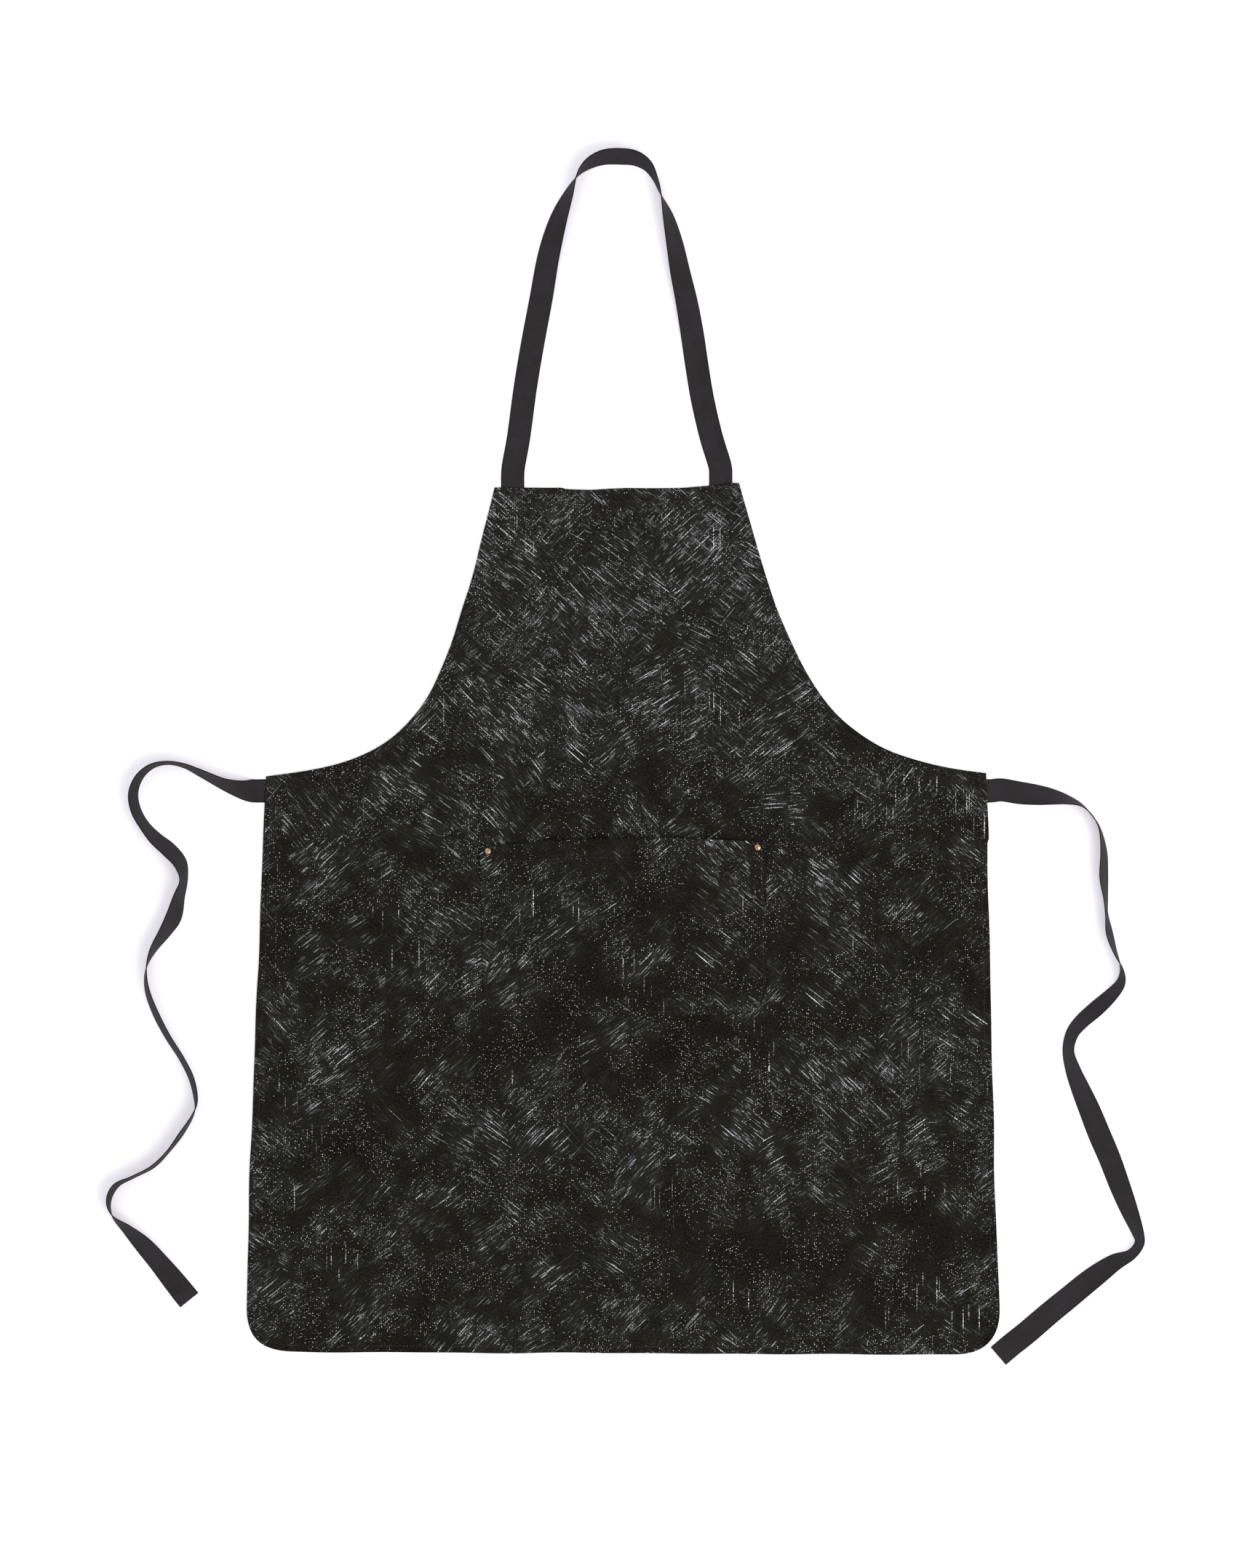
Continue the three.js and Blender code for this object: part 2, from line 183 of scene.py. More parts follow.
# Mesh helpers shared by the tapes, hems, cloth and rivets
def newPiece(name, points, faces, materials, faceMaterials=None):
    mesh = bpy.data.meshes.new(name)
    mesh.from_pydata(np.asarray(points, float).tolist(), [], faces)
    for material in materials:
        mesh.materials.append(material)
    if faceMaterials is not None:
        mesh.polygons.foreach_set("material_index", np.asarray(faceMaterials, np.int32))
    mesh.polygons.foreach_set("use_smooth", np.ones(len(mesh.polygons), bool))
    mesh.update()
    piece = bpy.data.objects.new(name, mesh)
    scene.collection.objects.link(piece)
    return piece


def outwards(piece):
    shell = bmesh.new()
    shell.from_mesh(piece.data)
    bmesh.ops.recalc_face_normals(shell, faces=shell.faces)
    shell.to_mesh(piece.data)
    shell.free()


def tubeFaces(stations, around, closedEnds=True):
    faces = []
    for i in range(stations - 1):
        for k in range(around):
            j = (k + 1) % around
            faces.append((i * around + k, i * around + j, (i + 1) * around + j, (i + 1) * around + k))
    if closedEnds:
        faces.append(tuple(range(around)))
        faces.append(tuple((stations - 1) * around + k for k in range(around)))
    return faces


def smoothstep(value, low, high):
    share = np.clip((np.asarray(value, float) - low) / (high - low), 0, 1)
    return share * share * (3 - 2 * share)


def bell(offset, width):
    return np.exp(-(offset / width) ** 2)


def flatRow(x, y):
    return np.stack([x, np.full_like(x, y)], axis=1)


def measured(points):
    points = np.array(points, float)
    steps = np.linalg.norm(np.diff(points, axis=0), axis=1)
    return points, np.concatenate([[0.0], np.cumsum(steps)])


def along(path, run):
    points, runs = path
    return np.stack([np.interp(run, runs, points[:, k]) for k in range(points.shape[1])], axis=-1)


def inset(path, run, depth):
    reach = 1.5 * mm
    ahead = along(path, np.clip(run + reach, 0, path[1][-1]))
    way = ahead - along(path, np.clip(run - reach, 0, path[1][-1]))
    way /= np.linalg.norm(way, axis=-1, keepdims=True)
    return along(path, run) + np.stack([-way[..., 1], way[..., 0]], axis=-1) * depth


# Twill tape: the neck strap and the two waist ties
tapeSettings = {
    "step": 2.5 * mm,             # between the rings of the mesh
    "selvedge": 0.93,             # share of the half width where the bound edge runs
    "selvedgeSwell": 0.07 * mm,
    "tipFold": 15 * mm,           # turned and stitched end of a tie
    "tail": 26 * mm,              # sewn behind the cloth
    "bend": 6 * mm,               # the strap bends this far either side of the bib's top edge
    "threadPitch": 1.7 * mm,      # real twill lines stand about 1 mm apart, drawn wider to show
    "herringbone": 6.2 * mm,      # width of one band of the herringbone
    "fuzz": 2.381 * mm,           # real lint is finer, drawn coarser to show
    "fadedPatch": 38.5 * mm,
    "scallop": 3.03 * mm,         # how often the selvedge wavers
    "colour": "#211f20",
    "ridgeColour": "#413e40",
    "edgeColour": "#191719",
    "fadedTones": ((0.80, 0.80, 0.72, 1), (1.06, 1.02, 1.06, 1)),
}
endLow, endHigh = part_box("left_strap_end")
tapeWidth = endHigh.x - endLow.x
tapeThickness = endHigh.z - endLow.z
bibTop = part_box("body_panel")[1].y
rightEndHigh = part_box("right_strap_end")[1]
bibMiddle = (endLow.x + rightEndHigh.x) / 2
strapX = (rightEndHigh.x - endLow.x - tapeWidth) / 2

# Stops along each tape: x, y in millimetres and roll in degrees, 0 flat and 90 on edge
strapRoute = [
    (-105, 52, 0), (-98, 104, 0), (-90, 152, 0), (-81, 200, 6), (-73, 245, 18),
    (-63, 282, 38), (-52, 310, 62), (-42, 331, 90), (-30, 343, 110), (-14, 350, 122),
    (4, 351, 126), (20, 349, 122), (33, 341, 112), (41, 328, 100), (47, 312, 90),
    (55, 288, 62), (62, 259, 43), (68, 228, 30), (75, 196, 18), (81, 162, 6),
    (86, 128, 0), (92, 92, 0), (101, 53, 0),
]
leftTieRoute = [
    (-20, 1, 34), (-40, 7, 58), (-65, 19, 70), (-83, 27, 78), (-101, 30, 82), (-118, 26, 80),
    (-131, 14, 76), (-137, -3, 72), (-134, -21, 70), (-125, -37, 69), (-113, -51, 60),
    (-99, -63, 54), (-87, -77, 60), (-83, -95, 76), (-88, -113, 66), (-94, -135, 52),
    (-103, -151, 62), (-116, -171, 79), (-123, -191, 97), (-122, -213, 107),
    (-113, -238, 111), (-100, -263, 110), (-86, -285, 109), (-75, -307, 109),
    (-70, -330, 104), (-73, -346, 90), (-85, -366, 82), (-99, -385, 85), (-116, -402, 82),
    (-137, -413, 82), (-155, -422, 78), (-163, -438, 84), (-159, -455, 100),
    (-143, -470, 124), (-126, -487, 146), (-108, -508, 157), (-90, -531, 174),
    (-78, -546, 180),
]
rightTieRoute = [
    (20, 1, 8), (38, -2, 14), (55, -4, 28), (72, -6, 46), (88, -9, 65), (104, -15, 82),
    (116, -27, 86), (124, -42, 80), (128, -66, 68), (128, -92, 63), (130, -115, 74),
    (131, -132, 78), (134, -152, 68), (140, -172, 76), (147, -190, 90), (146, -205, 106),
    (136, -218, 118), (120, -233, 126), (104, -247, 122), (94, -260, 116), (90, -278, 113),
    (95, -298, 125), (103, -318, 138), (113, -341, 151), (124, -368, 160), (135, -394, 156),
    (146, -424, 147), (155, -448, 134), (164, -472, 116), (166, -484, 106), (157, -496, 108),
    (139, -505, 128), (115, -523, 150), (92, -542, 157), (69, -561, 161), (46, -581, 168),
    (30, -594, 176), (16, -606, 180),
]


def catmullRom(stops, perLeg=24):
    stops = np.array(stops, float)
    first = stops[0] * 2 - stops[1]
    last = stops[-1] * 2 - stops[-2]
    padded = np.vstack([first, stops, last])
    share = np.linspace(0, 1, perLeg, endpoint=False)[:, None]
    legs = []
    for i in range(len(stops) - 1):
        a, b, c, d = padded[i:i + 4]
        slopeIn = (c - a) / 2
        slopeOut = (d - b) / 2
        cubic = 2 * b - 2 * c + slopeIn + slopeOut
        square = -3 * b + 3 * c - 2 * slopeIn - slopeOut
        legs.append(((cubic * share + square) * share + slopeIn) * share + b)
    return np.vstack(legs + [stops[-1:]])


def tapeProfile():
    # The woven edge is a little thicker than the middle and closes round
    across = np.array([1, 0.992, 0.97, 0.94, 0.9, 0.8, 0.5, 0.0])
    across = np.concatenate([across, -across[-2::-1]])
    swell = np.exp(-((np.abs(across) - tapeSettings["selvedge"]) / 0.035) ** 2)
    half = tapeThickness / 2 - tapeSettings["selvedgeSwell"] + tapeSettings["selvedgeSwell"] * swell
    half = half * np.sqrt(np.clip(1 - np.abs(across) ** 60, 0, 1))
    lower = slice(-2, 0, -1)
    return (
        np.concatenate([across, across[lower]]) * tapeWidth / 2,
        np.concatenate([half, -half[lower]]),
    )


def makeTape(name, stops, material, foldedEnd=False):
    # Stops are x and y in metres and roll in radians
    fine = catmullRom(stops)
    path = (fine, measured(fine[:, :2])[1])
    length = path[1][-1]
    count = int(round(length / tapeSettings["step"]))
    run = np.linspace(0, length, count + 1)
    here = along(path, run)
    way = along(path, np.clip(run + 1 * mm, 0, length)) - along(path, np.clip(run - 1 * mm, 0, length))
    way = way[:, :2] / np.linalg.norm(way[:, :2], axis=1, keepdims=True)
    lean, flat = np.sin(here[:, 2]), np.cos(here[:, 2])
    side = np.stack([way[:, 1], -way[:, 0], np.zeros(len(way))], axis=1)
    up = np.array([0.0, 0.0, 1.0])
    widthWay = side * flat[:, None] + up * lean[:, None]
    thickWay = up * flat[:, None] - side * lean[:, None]
    height = (tapeWidth * np.abs(lean) + tapeThickness * np.abs(flat)) / 2
    centre = np.stack([here[:, 0], here[:, 1], height], axis=1)
    across, thick = tapeProfile()
    plies = np.ones(len(run))
    if foldedEnd:
        plies = 1 + 0.85 * smoothstep(run, length - tapeSettings["tipFold"] - 1 * mm,
                                      length - tapeSettings["tipFold"] + 1 * mm)
        centre[:, 2] += (plies - 1) * tapeThickness / 2
    loops = (
        centre[:, None]
        + widthWay[:, None] * across[None, :, None]
        + thickWay[:, None] * (thick[None] * plies[:, None])[..., None]
    )
    piece = newPiece(name, loops.reshape(-1, 3), tubeFaces(len(run), len(across)), [material])
    outwards(piece)
    mesh = piece.data
    corner = np.zeros(len(mesh.loops), np.int32)
    mesh.loops.foreach_get("vertex_index", corner)
    weave = np.stack([
        (across / tapeWidth + 0.5)[corner % len(across)],
        run[corner // len(across)],
    ], axis=1)
    mesh.uv_layers.new(name="weave").data.foreach_set("uv", weave.astype(np.float32).ravel())
    return piece, centre, length


def twillTape():
    # Cotton herringbone tape, dyed charcoal: matt, with slanting ridges that meet in
    # narrow bands and a tight darker selvedge on both edges
    material, tree = newMaterial("charcoalTwillTape")
    uv = addNode(tree, "ShaderNodeUVMap", uv_map="weave")
    split = addNode(tree, "ShaderNodeSeparateXYZ", {0: uv})
    acrossTape = addNode(tree, "ShaderNodeMath", {0: split, 1: tapeWidth}, operation="MULTIPLY")
    zigzag = addNode(tree, "ShaderNodeMath", {
        0: acrossTape, 1: tapeSettings["herringbone"],
    }, operation="PINGPONG")
    slant = addNode(tree, "ShaderNodeMath", {0: split.outputs[1], 1: zigzag}, operation="ADD")
    turns = addNode(tree, "ShaderNodeMath", {
        0: slant, 1: 2 * math.pi / tapeSettings["threadPitch"],
    }, operation="MULTIPLY")
    ridge = addNode(tree, "ShaderNodeMath", {0: turns}, operation="SINE")
    ridgeShare = addNode(tree, "ShaderNodeMapRange", {"Value": ridge, "From Min": -1, "From Max": 1})
    place = addNode(tree, "ShaderNodeTexCoord").outputs["Object"]
    fuzz = addNode(tree, "ShaderNodeTexNoise", {
        "Vector": place, "Scale": 1 / tapeSettings["fuzz"], "Detail": 3, "Roughness": 0.7,
    })
    shade = addNode(tree, "ShaderNodeMath", {0: ridgeShare, 1: fuzz}, operation="MULTIPLY")
    cloth = addNode(tree, "ShaderNodeMix", {
        0: shade, 6: linear(tapeSettings["colour"]), 7: linear(tapeSettings["ridgeColour"]),
    }, data_type="RGBA")
    faded = blotches(tree, place, tapeSettings["fadedPatch"], 0.35, 0.65, detail=2, flat=False)
    dull, fresh = tapeSettings["fadedTones"]
    tone = addNode(tree, "ShaderNodeMix", {0: faded, 6: dull, 7: fresh}, data_type="RGBA")
    toned = addNode(tree, "ShaderNodeMix", {
        0: 1.0, 6: cloth.outputs[2], 7: tone.outputs[2],
    }, data_type="RGBA", blend_type="MULTIPLY")
    fromMiddle = addNode(tree, "ShaderNodeMath", {0: split, 1: 0.5}, operation="SUBTRACT")
    away = addNode(tree, "ShaderNodeMath", {0: fromMiddle}, operation="ABSOLUTE")
    scallop = addNode(tree, "ShaderNodeTexNoise", {
        "Vector": place, "Scale": 1 / tapeSettings["scallop"], "Detail": 1,
    })
    wobble = addNode(tree, "ShaderNodeMath", {0: scallop, 1: 0.035, 2: away}, operation="MULTIPLY_ADD")
    edge = addNode(tree, "ShaderNodeMapRange", {"Value": wobble, "From Min": 0.462, "From Max": 0.49})
    colour = addNode(tree, "ShaderNodeMix", {
        0: edge, 6: toned.outputs[2], 7: linear(tapeSettings["edgeColour"]),
    }, data_type="RGBA")
    height = addNode(tree, "ShaderNodeMath", {0: fuzz, 1: 0.6, 2: ridgeShare}, operation="MULTIPLY_ADD")
    finishCloth(tree, colour.outputs[2], height, 0.7, 0.25 * mm, 0.92, 0.16,
                **{"Sheen Weight": 0.04, "Sheen Roughness": 0.5})
    return material


def stopsFrom(route, originX, originY):
    return [(x * mm + originX, y * mm + originY, math.radians(roll)) for x, y, roll in route]


def makeTapes():
    tape = twillTape()
    tail = tapeSettings["tail"] / mm
    reach = strapX / mm
    stops = [(reach, -tail), (reach, -tail / 2), (reach, 1.3), (reach, 9.3), (reach - 1, 21.3)]
    rightEnd = [(x, y, 0) for x, y in stops]
    leftEnd = [(-x, y, 0) for x, y in stops]
    loop = leftEnd + strapRoute + rightEnd[::-1]
    neck, line, length = makeTape("neckTape", stopsFrom(loop, bibMiddle, bibTop), tape)
    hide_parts("neck_strap", "left_strap_end", "right_strap_end")
    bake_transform(neck)
    ties = {}
    for name, side, route in (("left", -1, leftTieRoute), ("right", 1, rightTieRoute)):
        tackLow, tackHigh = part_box(f"{name}_tie_tack")
        rootY = (tackLow.y + tackHigh.y) / 2
        rootX = side * tieRootX
        inner = [(side * x, 0, 0) for x in (-tail, -tail / 2, 0, 8)]
        stops = stopsFrom(inner + route, rootX, rootY)
        tie, line, length = makeTape(f"{name}Tie", stops, tape, foldedEnd=True)
        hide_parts(f"{name}_tie")
        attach(tie, "apron")
        ties[f"{name}Tie"] = (tie, line, length, (rootX, rootY, tapeThickness / 2))
    return ties


# The cloth as it was cut: the body's outline, before it was laid out
cut = {
    "bibTopHalf": 131 * mm,
    "bibShift": -6.5 * mm,
    "hipHalf": 386 * mm,
    "skirtHalf": 405 * mm,
    "bibHeight": 311 * mm,
    "armholeLean": (64.6 * mm, 253.8 * mm),
    "armholeSweep": (158.2 * mm, 20.8 * mm),
    "corner": 50 * mm,
    "tieDrop": 17 * mm,
}
panelLow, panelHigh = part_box("body_panel")
bottomY = panelLow.y
skirtHalf = cut["skirtHalf"]
hipY = bibTop - cut["bibHeight"]
clothTop = panelHigh.z
clothThickness = panelHigh.z - panelLow.z


def sideX(y):
    return np.interp(-y, [-hipY, -bottomY], [cut["hipHalf"], skirtHalf])


tieRootX = float(sideX(hipY - cut["tieDrop"]))


def bezier(points, count):
    layer = [np.outer(np.ones(count), p) for p in points]
    share = np.linspace(0, 1, count)[:, None]
    while len(layer) > 1:
        layer = [a + (b - a) * share for a, b in zip(layer, layer[1:])]
    return layer[0]


def armhole(side):
    lean, sweep = cut["armholeLean"], cut["armholeSweep"]
    return bezier([
        (cut["bibShift"] + side * cut["bibTopHalf"], bibTop),
        (cut["bibShift"] + side * (cut["bibTopHalf"] + lean[0]), bibTop - lean[1]),
        (side * (cut["hipHalf"] - sweep[0]), hipY + sweep[1]),
        (side * cut["hipHalf"], hipY),
    ], 160)


def roundedSkirt():
    cornerTop = bottomY + cut["corner"]
    left = bezier([
        (-sideX(cornerTop), cornerTop), (-skirtHalf, bottomY), (cut["corner"] - skirtHalf, bottomY),
    ], 40)
    right = (left * (-1, 1))[::-1]
    return np.vstack([[(-cut["hipHalf"], hipY)], left, right, [(cut["hipHalf"], hipY)]])


skirtPath = measured(roundedSkirt())
rightArmPath = measured(armhole(1)[::-1])
bibPath = measured([armhole(1)[0], armhole(-1)[0]])
leftArmPath = measured(armhole(-1))
bodyPaths = [skirtPath, rightArmPath, bibPath, leftArmPath]

# How the cloth lies: small turns of its rows, the bib's slack top edge, soft ripples
lay = {
    "tiltRows": (-921, -301, 10),
    "tilt": (-0.0042, 0.0049, 0.0196),
    "driftRows": (-921, -720, -560, -405, -301, -280, -240, -120, 10),
    "drift": (0.2, -0.3, 0.8, 2.3, 3.8, 6.0, 5.6, 1.6, 0.6),
    "sagAt": (-137, -110, -64, -61.5, -34, 3, 66, 92, 116, 125),
    "sag": (0, 0.5, 1.2, 3.0, 4.9, 3.5, 3.7, 2.3, 0, 0),
    "sagReach": 16 * mm,
    "bulge": 1.5 * mm,
    "bulgeEnd": -371 * mm,
    "bulgeFrom": (0.30, 0.38),
    "ripple": 0.45 * mm,
    "ripples": [(9.0, 41.0, 0.4), (23.0, -17.0, 1.9), (-47.0, 31.0, 3.1), (78.0, 64.0, 0.9)],
    "swells": [(31, 12, 0.3), (-17, 28, 1.1), (11, -41, 2.7), (52, 33, 4.0), (-63, 47, 0.8), (20, 71, 5.2)],
}


def laidOut(points):
    x, y = points[:, 0], points[:, 1]
    tilt = np.interp(y / mm, lay["tiltRows"], lay["tilt"])
    drift = np.interp(y / mm, lay["driftRows"], lay["drift"]) * mm
    sag = np.interp(x / mm, lay["sagAt"], lay["sag"]) * mm
    sag = sag * np.exp(-np.clip(bibTop - y, 0, 1) / lay["sagReach"])
    end = lay["bulgeEnd"]
    upper = smoothstep(y, end - 2 * mm, end) * smoothstep(-y, -hipY - 3 * mm, -end)
    bulge = lay["bulge"] * upper * smoothstep(x, *lay["bulgeFrom"])
    waveX = sum(np.sin(a * x + b * y + c) for a, b, c in lay["ripples"])
    waveY = sum(np.cos(b * x - a * y + c * 2) for a, b, c in lay["ripples"])
    return np.stack([
        x + drift + bulge + lay["ripple"] * waveX / 2,
        y + x * tilt - sag + lay["ripple"] * waveY / 2,
    ], axis=1)


# Relief of the cloth over its hems, seams and the floor
relief = {
    "hem": 10 * mm,
    "bibHem": 20 * mm,
    "sink": 0.75 * mm,            # inside the hems the single cloth lies lower
    "groove": 0.28 * mm,
    "edgeStitch": 7 * mm,
    "bibStitch": 17 * mm,
    "seamWidth": 0.9 * mm,
    "fold": 0.9 * mm,             # round of the turned edge
    "lip": 0.55 * mm,             # how much thicker the cloth is where it turns
    "swell": 0.55 * mm,
    "settle": 3 * mm,             # over which the cloth comes down from a hem
    "fromPocket": (3 * mm, 70 * mm),
    "fromEdge": (4 * mm, 60 * mm),
    "hemThickness": 1.6 * mm,
    "hemSetback": 0.5 * mm,
    "hemStep": 4 * mm,
    "tieGap": 6 * mm,             # an armhole's hem is this much narrower above the tie
}
pocketLow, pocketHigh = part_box("pocket_panel")


def swells(x, y):
    return sum(np.sin(a * x + b * y + c) for a, b, c in lay["swells"]) / len(lay["swells"])


def roundedEdge(depth):
    turned = 1 - np.clip(depth / relief["fold"], 0, 1)
    return relief["fold"] * (1 - np.sqrt(np.clip(1 - turned ** 2, 0, 1)))


def clothHeight(points, depth):
    x, y = points[:, 0], points[:, 1]
    below = bibTop - y
    inside = 1.0
    for far, hem in ((depth, relief["hem"]), (below, relief["bibHem"])):
        inside = inside * smoothstep(far, hem - 0.5 * mm, hem + relief["settle"])
    offX = np.clip(np.maximum(pocketLow.x - x, x - pocketHigh.x), 0, None)
    offY = np.clip(np.maximum(pocketLow.y - y, y - pocketHigh.y), 0, None)
    clear = smoothstep(np.hypot(offX, offY), *relief["fromPocket"])
    seam = bell(depth - relief["edgeStitch"], relief["seamWidth"]) * smoothstep(below, 6 * mm, 9 * mm)
    bibLine = bell(below - relief["bibStitch"], relief["seamWidth"]) * smoothstep(depth, 5 * mm, 9 * mm)
    swell = swells(x, y) * relief["swell"] * smoothstep(depth, *relief["fromEdge"]) * clear
    return (clothTop - relief["sink"] * inside * clear - relief["groove"] * np.maximum(seam, bibLine)
            + swell - roundedEdge(depth))


def clothUnder(points, depth):
    lip = smoothstep(depth, 0.1 * mm, 1.2 * mm)
    top = clothHeight(points, np.maximum(depth, relief["fold"]))
    return top - clothThickness - relief["lip"] * (1 - lip)


def turnBetween(path, following):
    reach = 2 * mm
    a = along(path, path[1][-1]) - along(path, path[1][-1] - reach)
    b = along(following, reach) - along(following, 0)
    return math.atan2(a[0] * b[1] - a[1] * b[0], a[0] * b[0] + a[1] * b[1])


def ring(paths, counts, depth):
    # One closed loop at a depth inside the outline, mitred at the corners
    spots = []
    for i, path in enumerate(paths):
        start = depth * math.tan(turnBetween(paths[i - 1], path) / 2)
        stop = depth * math.tan(turnBetween(path, paths[(i + 1) % len(paths)]) / 2)
        run = np.linspace(start, path[1][-1] - stop, counts[i] + 1)[:-1]
        spots.append(inset(path, run, depth))
    return np.vstack(spots)


def distanceTo(points, loop):
    ends = np.roll(loop, -1, axis=0)
    legs = ends - loop
    square = (legs ** 2).sum(1)
    found = []
    for part in np.array_split(points, max(1, len(points) // 1500)):
        off = part[:, None] - loop[None]
        share = np.clip((off * legs).sum(2) / square, 0, 1)
        found.append(np.sqrt(((off - share[..., None] * legs) ** 2).sum(2)).min(1))
    return np.concatenate(found)


def insideOf(points, loop):
    ends = np.roll(loop, -1, axis=0)
    found = []
    for part in np.array_split(points, max(1, len(points) // 1500)):
        x, y = part[:, :1], part[:, 1:]
        spans = (loop[:, 1] > y) != (ends[:, 1] > y)
        with np.errstate(divide="ignore", invalid="ignore"):
            at = loop[:, 0] + (y - loop[:, 1]) / (ends[:, 1] - loop[:, 1]) * (ends[:, 0] - loop[:, 0])
        found.append((spans & (x < at)).sum(1) % 2 == 1)
    return np.concatenate(found)


def clothPiece(name, paths, depths, step, spacing, rows, heightOf, underOf, layOf, materials):
    # Rings of quads follow the edge, and a triangle net fills the middle
    counts = [max(2, round(path[1][-1] / step)) for path in paths]
    rings = [ring(paths, counts, depth) for depth in depths]
    around = len(rings[0])
    inner = rings[-1]
    low, high = inner.min(0), inner.max(0)
    lines = np.arange(low[1], high[1], spacing * 0.866)
    net = [
        flatRow(np.arange(low[0] + (i % 2) * spacing / 2, high[0], spacing), y)
        for i, y in enumerate(lines) if all(abs(y - row) > spacing * 0.45 for row in rows)
    ]
    net = np.vstack(net + [flatRow(np.arange(low[0], high[0], spacing * 0.8), row) for row in rows])
    net = net[insideOf(net, inner)]
    net = net[distanceTo(net, inner) > spacing * 0.5]
    flat = np.vstack([inner, net])
    made = delaunay_2d_cdt(
        [Vector(p) for p in flat.tolist()],
        [(i, (i + 1) % around) for i in range(around)], [], 1, 1e-9)
    source = [owners[0] for owners in made[3]]
    shift = around * (len(rings) - 1)
    faces = tubeFaces(len(rings), around, closedEnds=False)
    for triangle in made[2]:
        a, b, c = (source[i] for i in triangle)
        area = np.cross(flat[b] - flat[a], flat[c] - flat[a])
        faces.append((a + shift, b + shift, c + shift) if area > 0 else (a + shift, c + shift, b + shift))
    points = np.vstack(rings[:-1] + [flat])
    depth = np.concatenate([np.repeat(depths, around), distanceTo(net, rings[0])])
    placed = layOf(points)
    top = np.column_stack([placed, heightOf(points, depth)])
    under = np.column_stack([placed, underOf(points, depth)])
    total = len(points)
    back = [tuple(total + i for i in reversed(face)) for face in faces]
    wall = [(total + i, total + (i + 1) % around, (i + 1) % around, i) for i in range(around)]
    kinds = [0] * len(faces) + [1] * len(back) + [0] * len(wall)
    piece = newPiece(name, np.vstack([top, under]), faces + back + wall, materials, kinds)
    return piece, float(polygonArea(rings[0]))


def polygonArea(loop):
    following = np.roll(loop, -1, axis=0)
    return abs((loop[:, 0] * following[:, 1] - loop[:, 1] * following[:, 0]).sum()) / 2


# The printed canvas
printSettings = {
    "ground": "#060604",
    "groundWorn": "#211f18",
    "mist": "#22211d",
    "stroke": "#494b4c",
    "strokeBright": "#d6d9da",
    "speck": "#f0efea",
    "bow": 16 * mm,               # how far a long stroke bows
    "bowSize": 120 * mm,
    "dabs": [
        # one go of the brush each: pitch of the dabs, and how many of their strokes took
        {"pitch": 118, "seed": 3.1, "gate": 0.69},
        {"pitch": 84, "seed": 17.7, "gate": 0.72},
        {"pitch": 140, "seed": 41.3, "gate": 0.69},
    ],
    "strokes": [
        {"cell": (58, 2.2), "size": (0.10, 0.27), "tone": 0.98, "ease": 0.0},
        {"cell": (24, 1.8), "size": (0.11, 0.27), "tone": 0.9, "ease": 0.02},
        {"cell": (20, 1.3), "size": (0.16, 0.36), "tone": 0.20, "ease": 0.16},
    ],
    "lean": 0.88,                 # radians either way from level
    "leanSpread": 0.32,
    "bibLift": 0.32,              # the bib took more paint than the skirt
    "bibRise": (-0.33, -0.14),    # from the armholes' foot to the chest
    "dabShape": (1.0, 1.35, 0),   # a dab is longer than it is wide
    "dabPatch": 26 * mm,
    "tooth": 1.6 * mm,            # real thread tops are finer, drawn coarser to show
    "spatter": {
        "pitch": 2.1 * mm, "patch": 45 * mm, "gate": 0.41, "radius": (0.08, 0.20), "bright": (0.12, 1.0),
    },
    "drips": {"cell": (130, 4.2), "size": (0.09, 0.15), "gate": 1.04, "ramp": 0.25, "patch": 95 * mm},
    "bead": 1.9 * mm,
    "mottle": 1.9 * mm,
    "weave": 1.3 * mm,            # real canvas has about 0.5 mm threads, drawn wider to show
    "yarn": 2.5 * mm,
    "slub": 3 * mm,
    "back": "#1f1e1a",
    "backPale": "#35332d",
}


def paintStrokes(tree, vector, kind, cover, gate, ramp=0.3, tone=1.0):
    # Long thin cells. One shows where its own luck and the cover together pass the gate
    length, width = kind["cell"]
    place = addNode(tree, "ShaderNodeMapping", {
        "Vector": vector, "Location": (length / 7, width / 3, 0), "Scale": (length * mm, width * mm, 1),
    }, vector_type="TEXTURE")
    stroke = addNode(tree, "ShaderNodeTexVoronoi", {"Vector": place, "Scale": 1}, voronoi_dimensions="2D")
    pick = addNode(tree, "ShaderNodeSeparateXYZ", {0: stroke.outputs["Color"]})
    chance = addNode(tree, "ShaderNodeMath", {0: pick, 1: 0.5, 2: cover}, operation="MULTIPLY_ADD")
    shown = addNode(tree, "ShaderNodeMapRange", {
        "Value": chance, "From Min": gate, "From Max": gate + ramp,
    })
    reach = addNode(tree, "ShaderNodeMapRange", {
        "Value": pick.outputs[1], "To Min": kind["size"][0], "To Max": kind["size"][1],
    })
    within = addNode(tree, "ShaderNodeMath", {0: reach, 1: stroke}, operation="SUBTRACT")
    edge = addNode(tree, "ShaderNodeMapRange", {"Value": within, "From Max": 0.07})
    loaded = addNode(tree, "ShaderNodeMapRange", {
        "Value": pick.outputs[2], "To Min": 0.3 * tone, "To Max": 1.1 * tone,
    })
    wet = addNode(tree, "ShaderNodeMath", {0: shown, 1: loaded}, operation="MULTIPLY")
    return addNode(tree, "ShaderNodeMath", {0: wet, 1: edge}, operation="MULTIPLY")


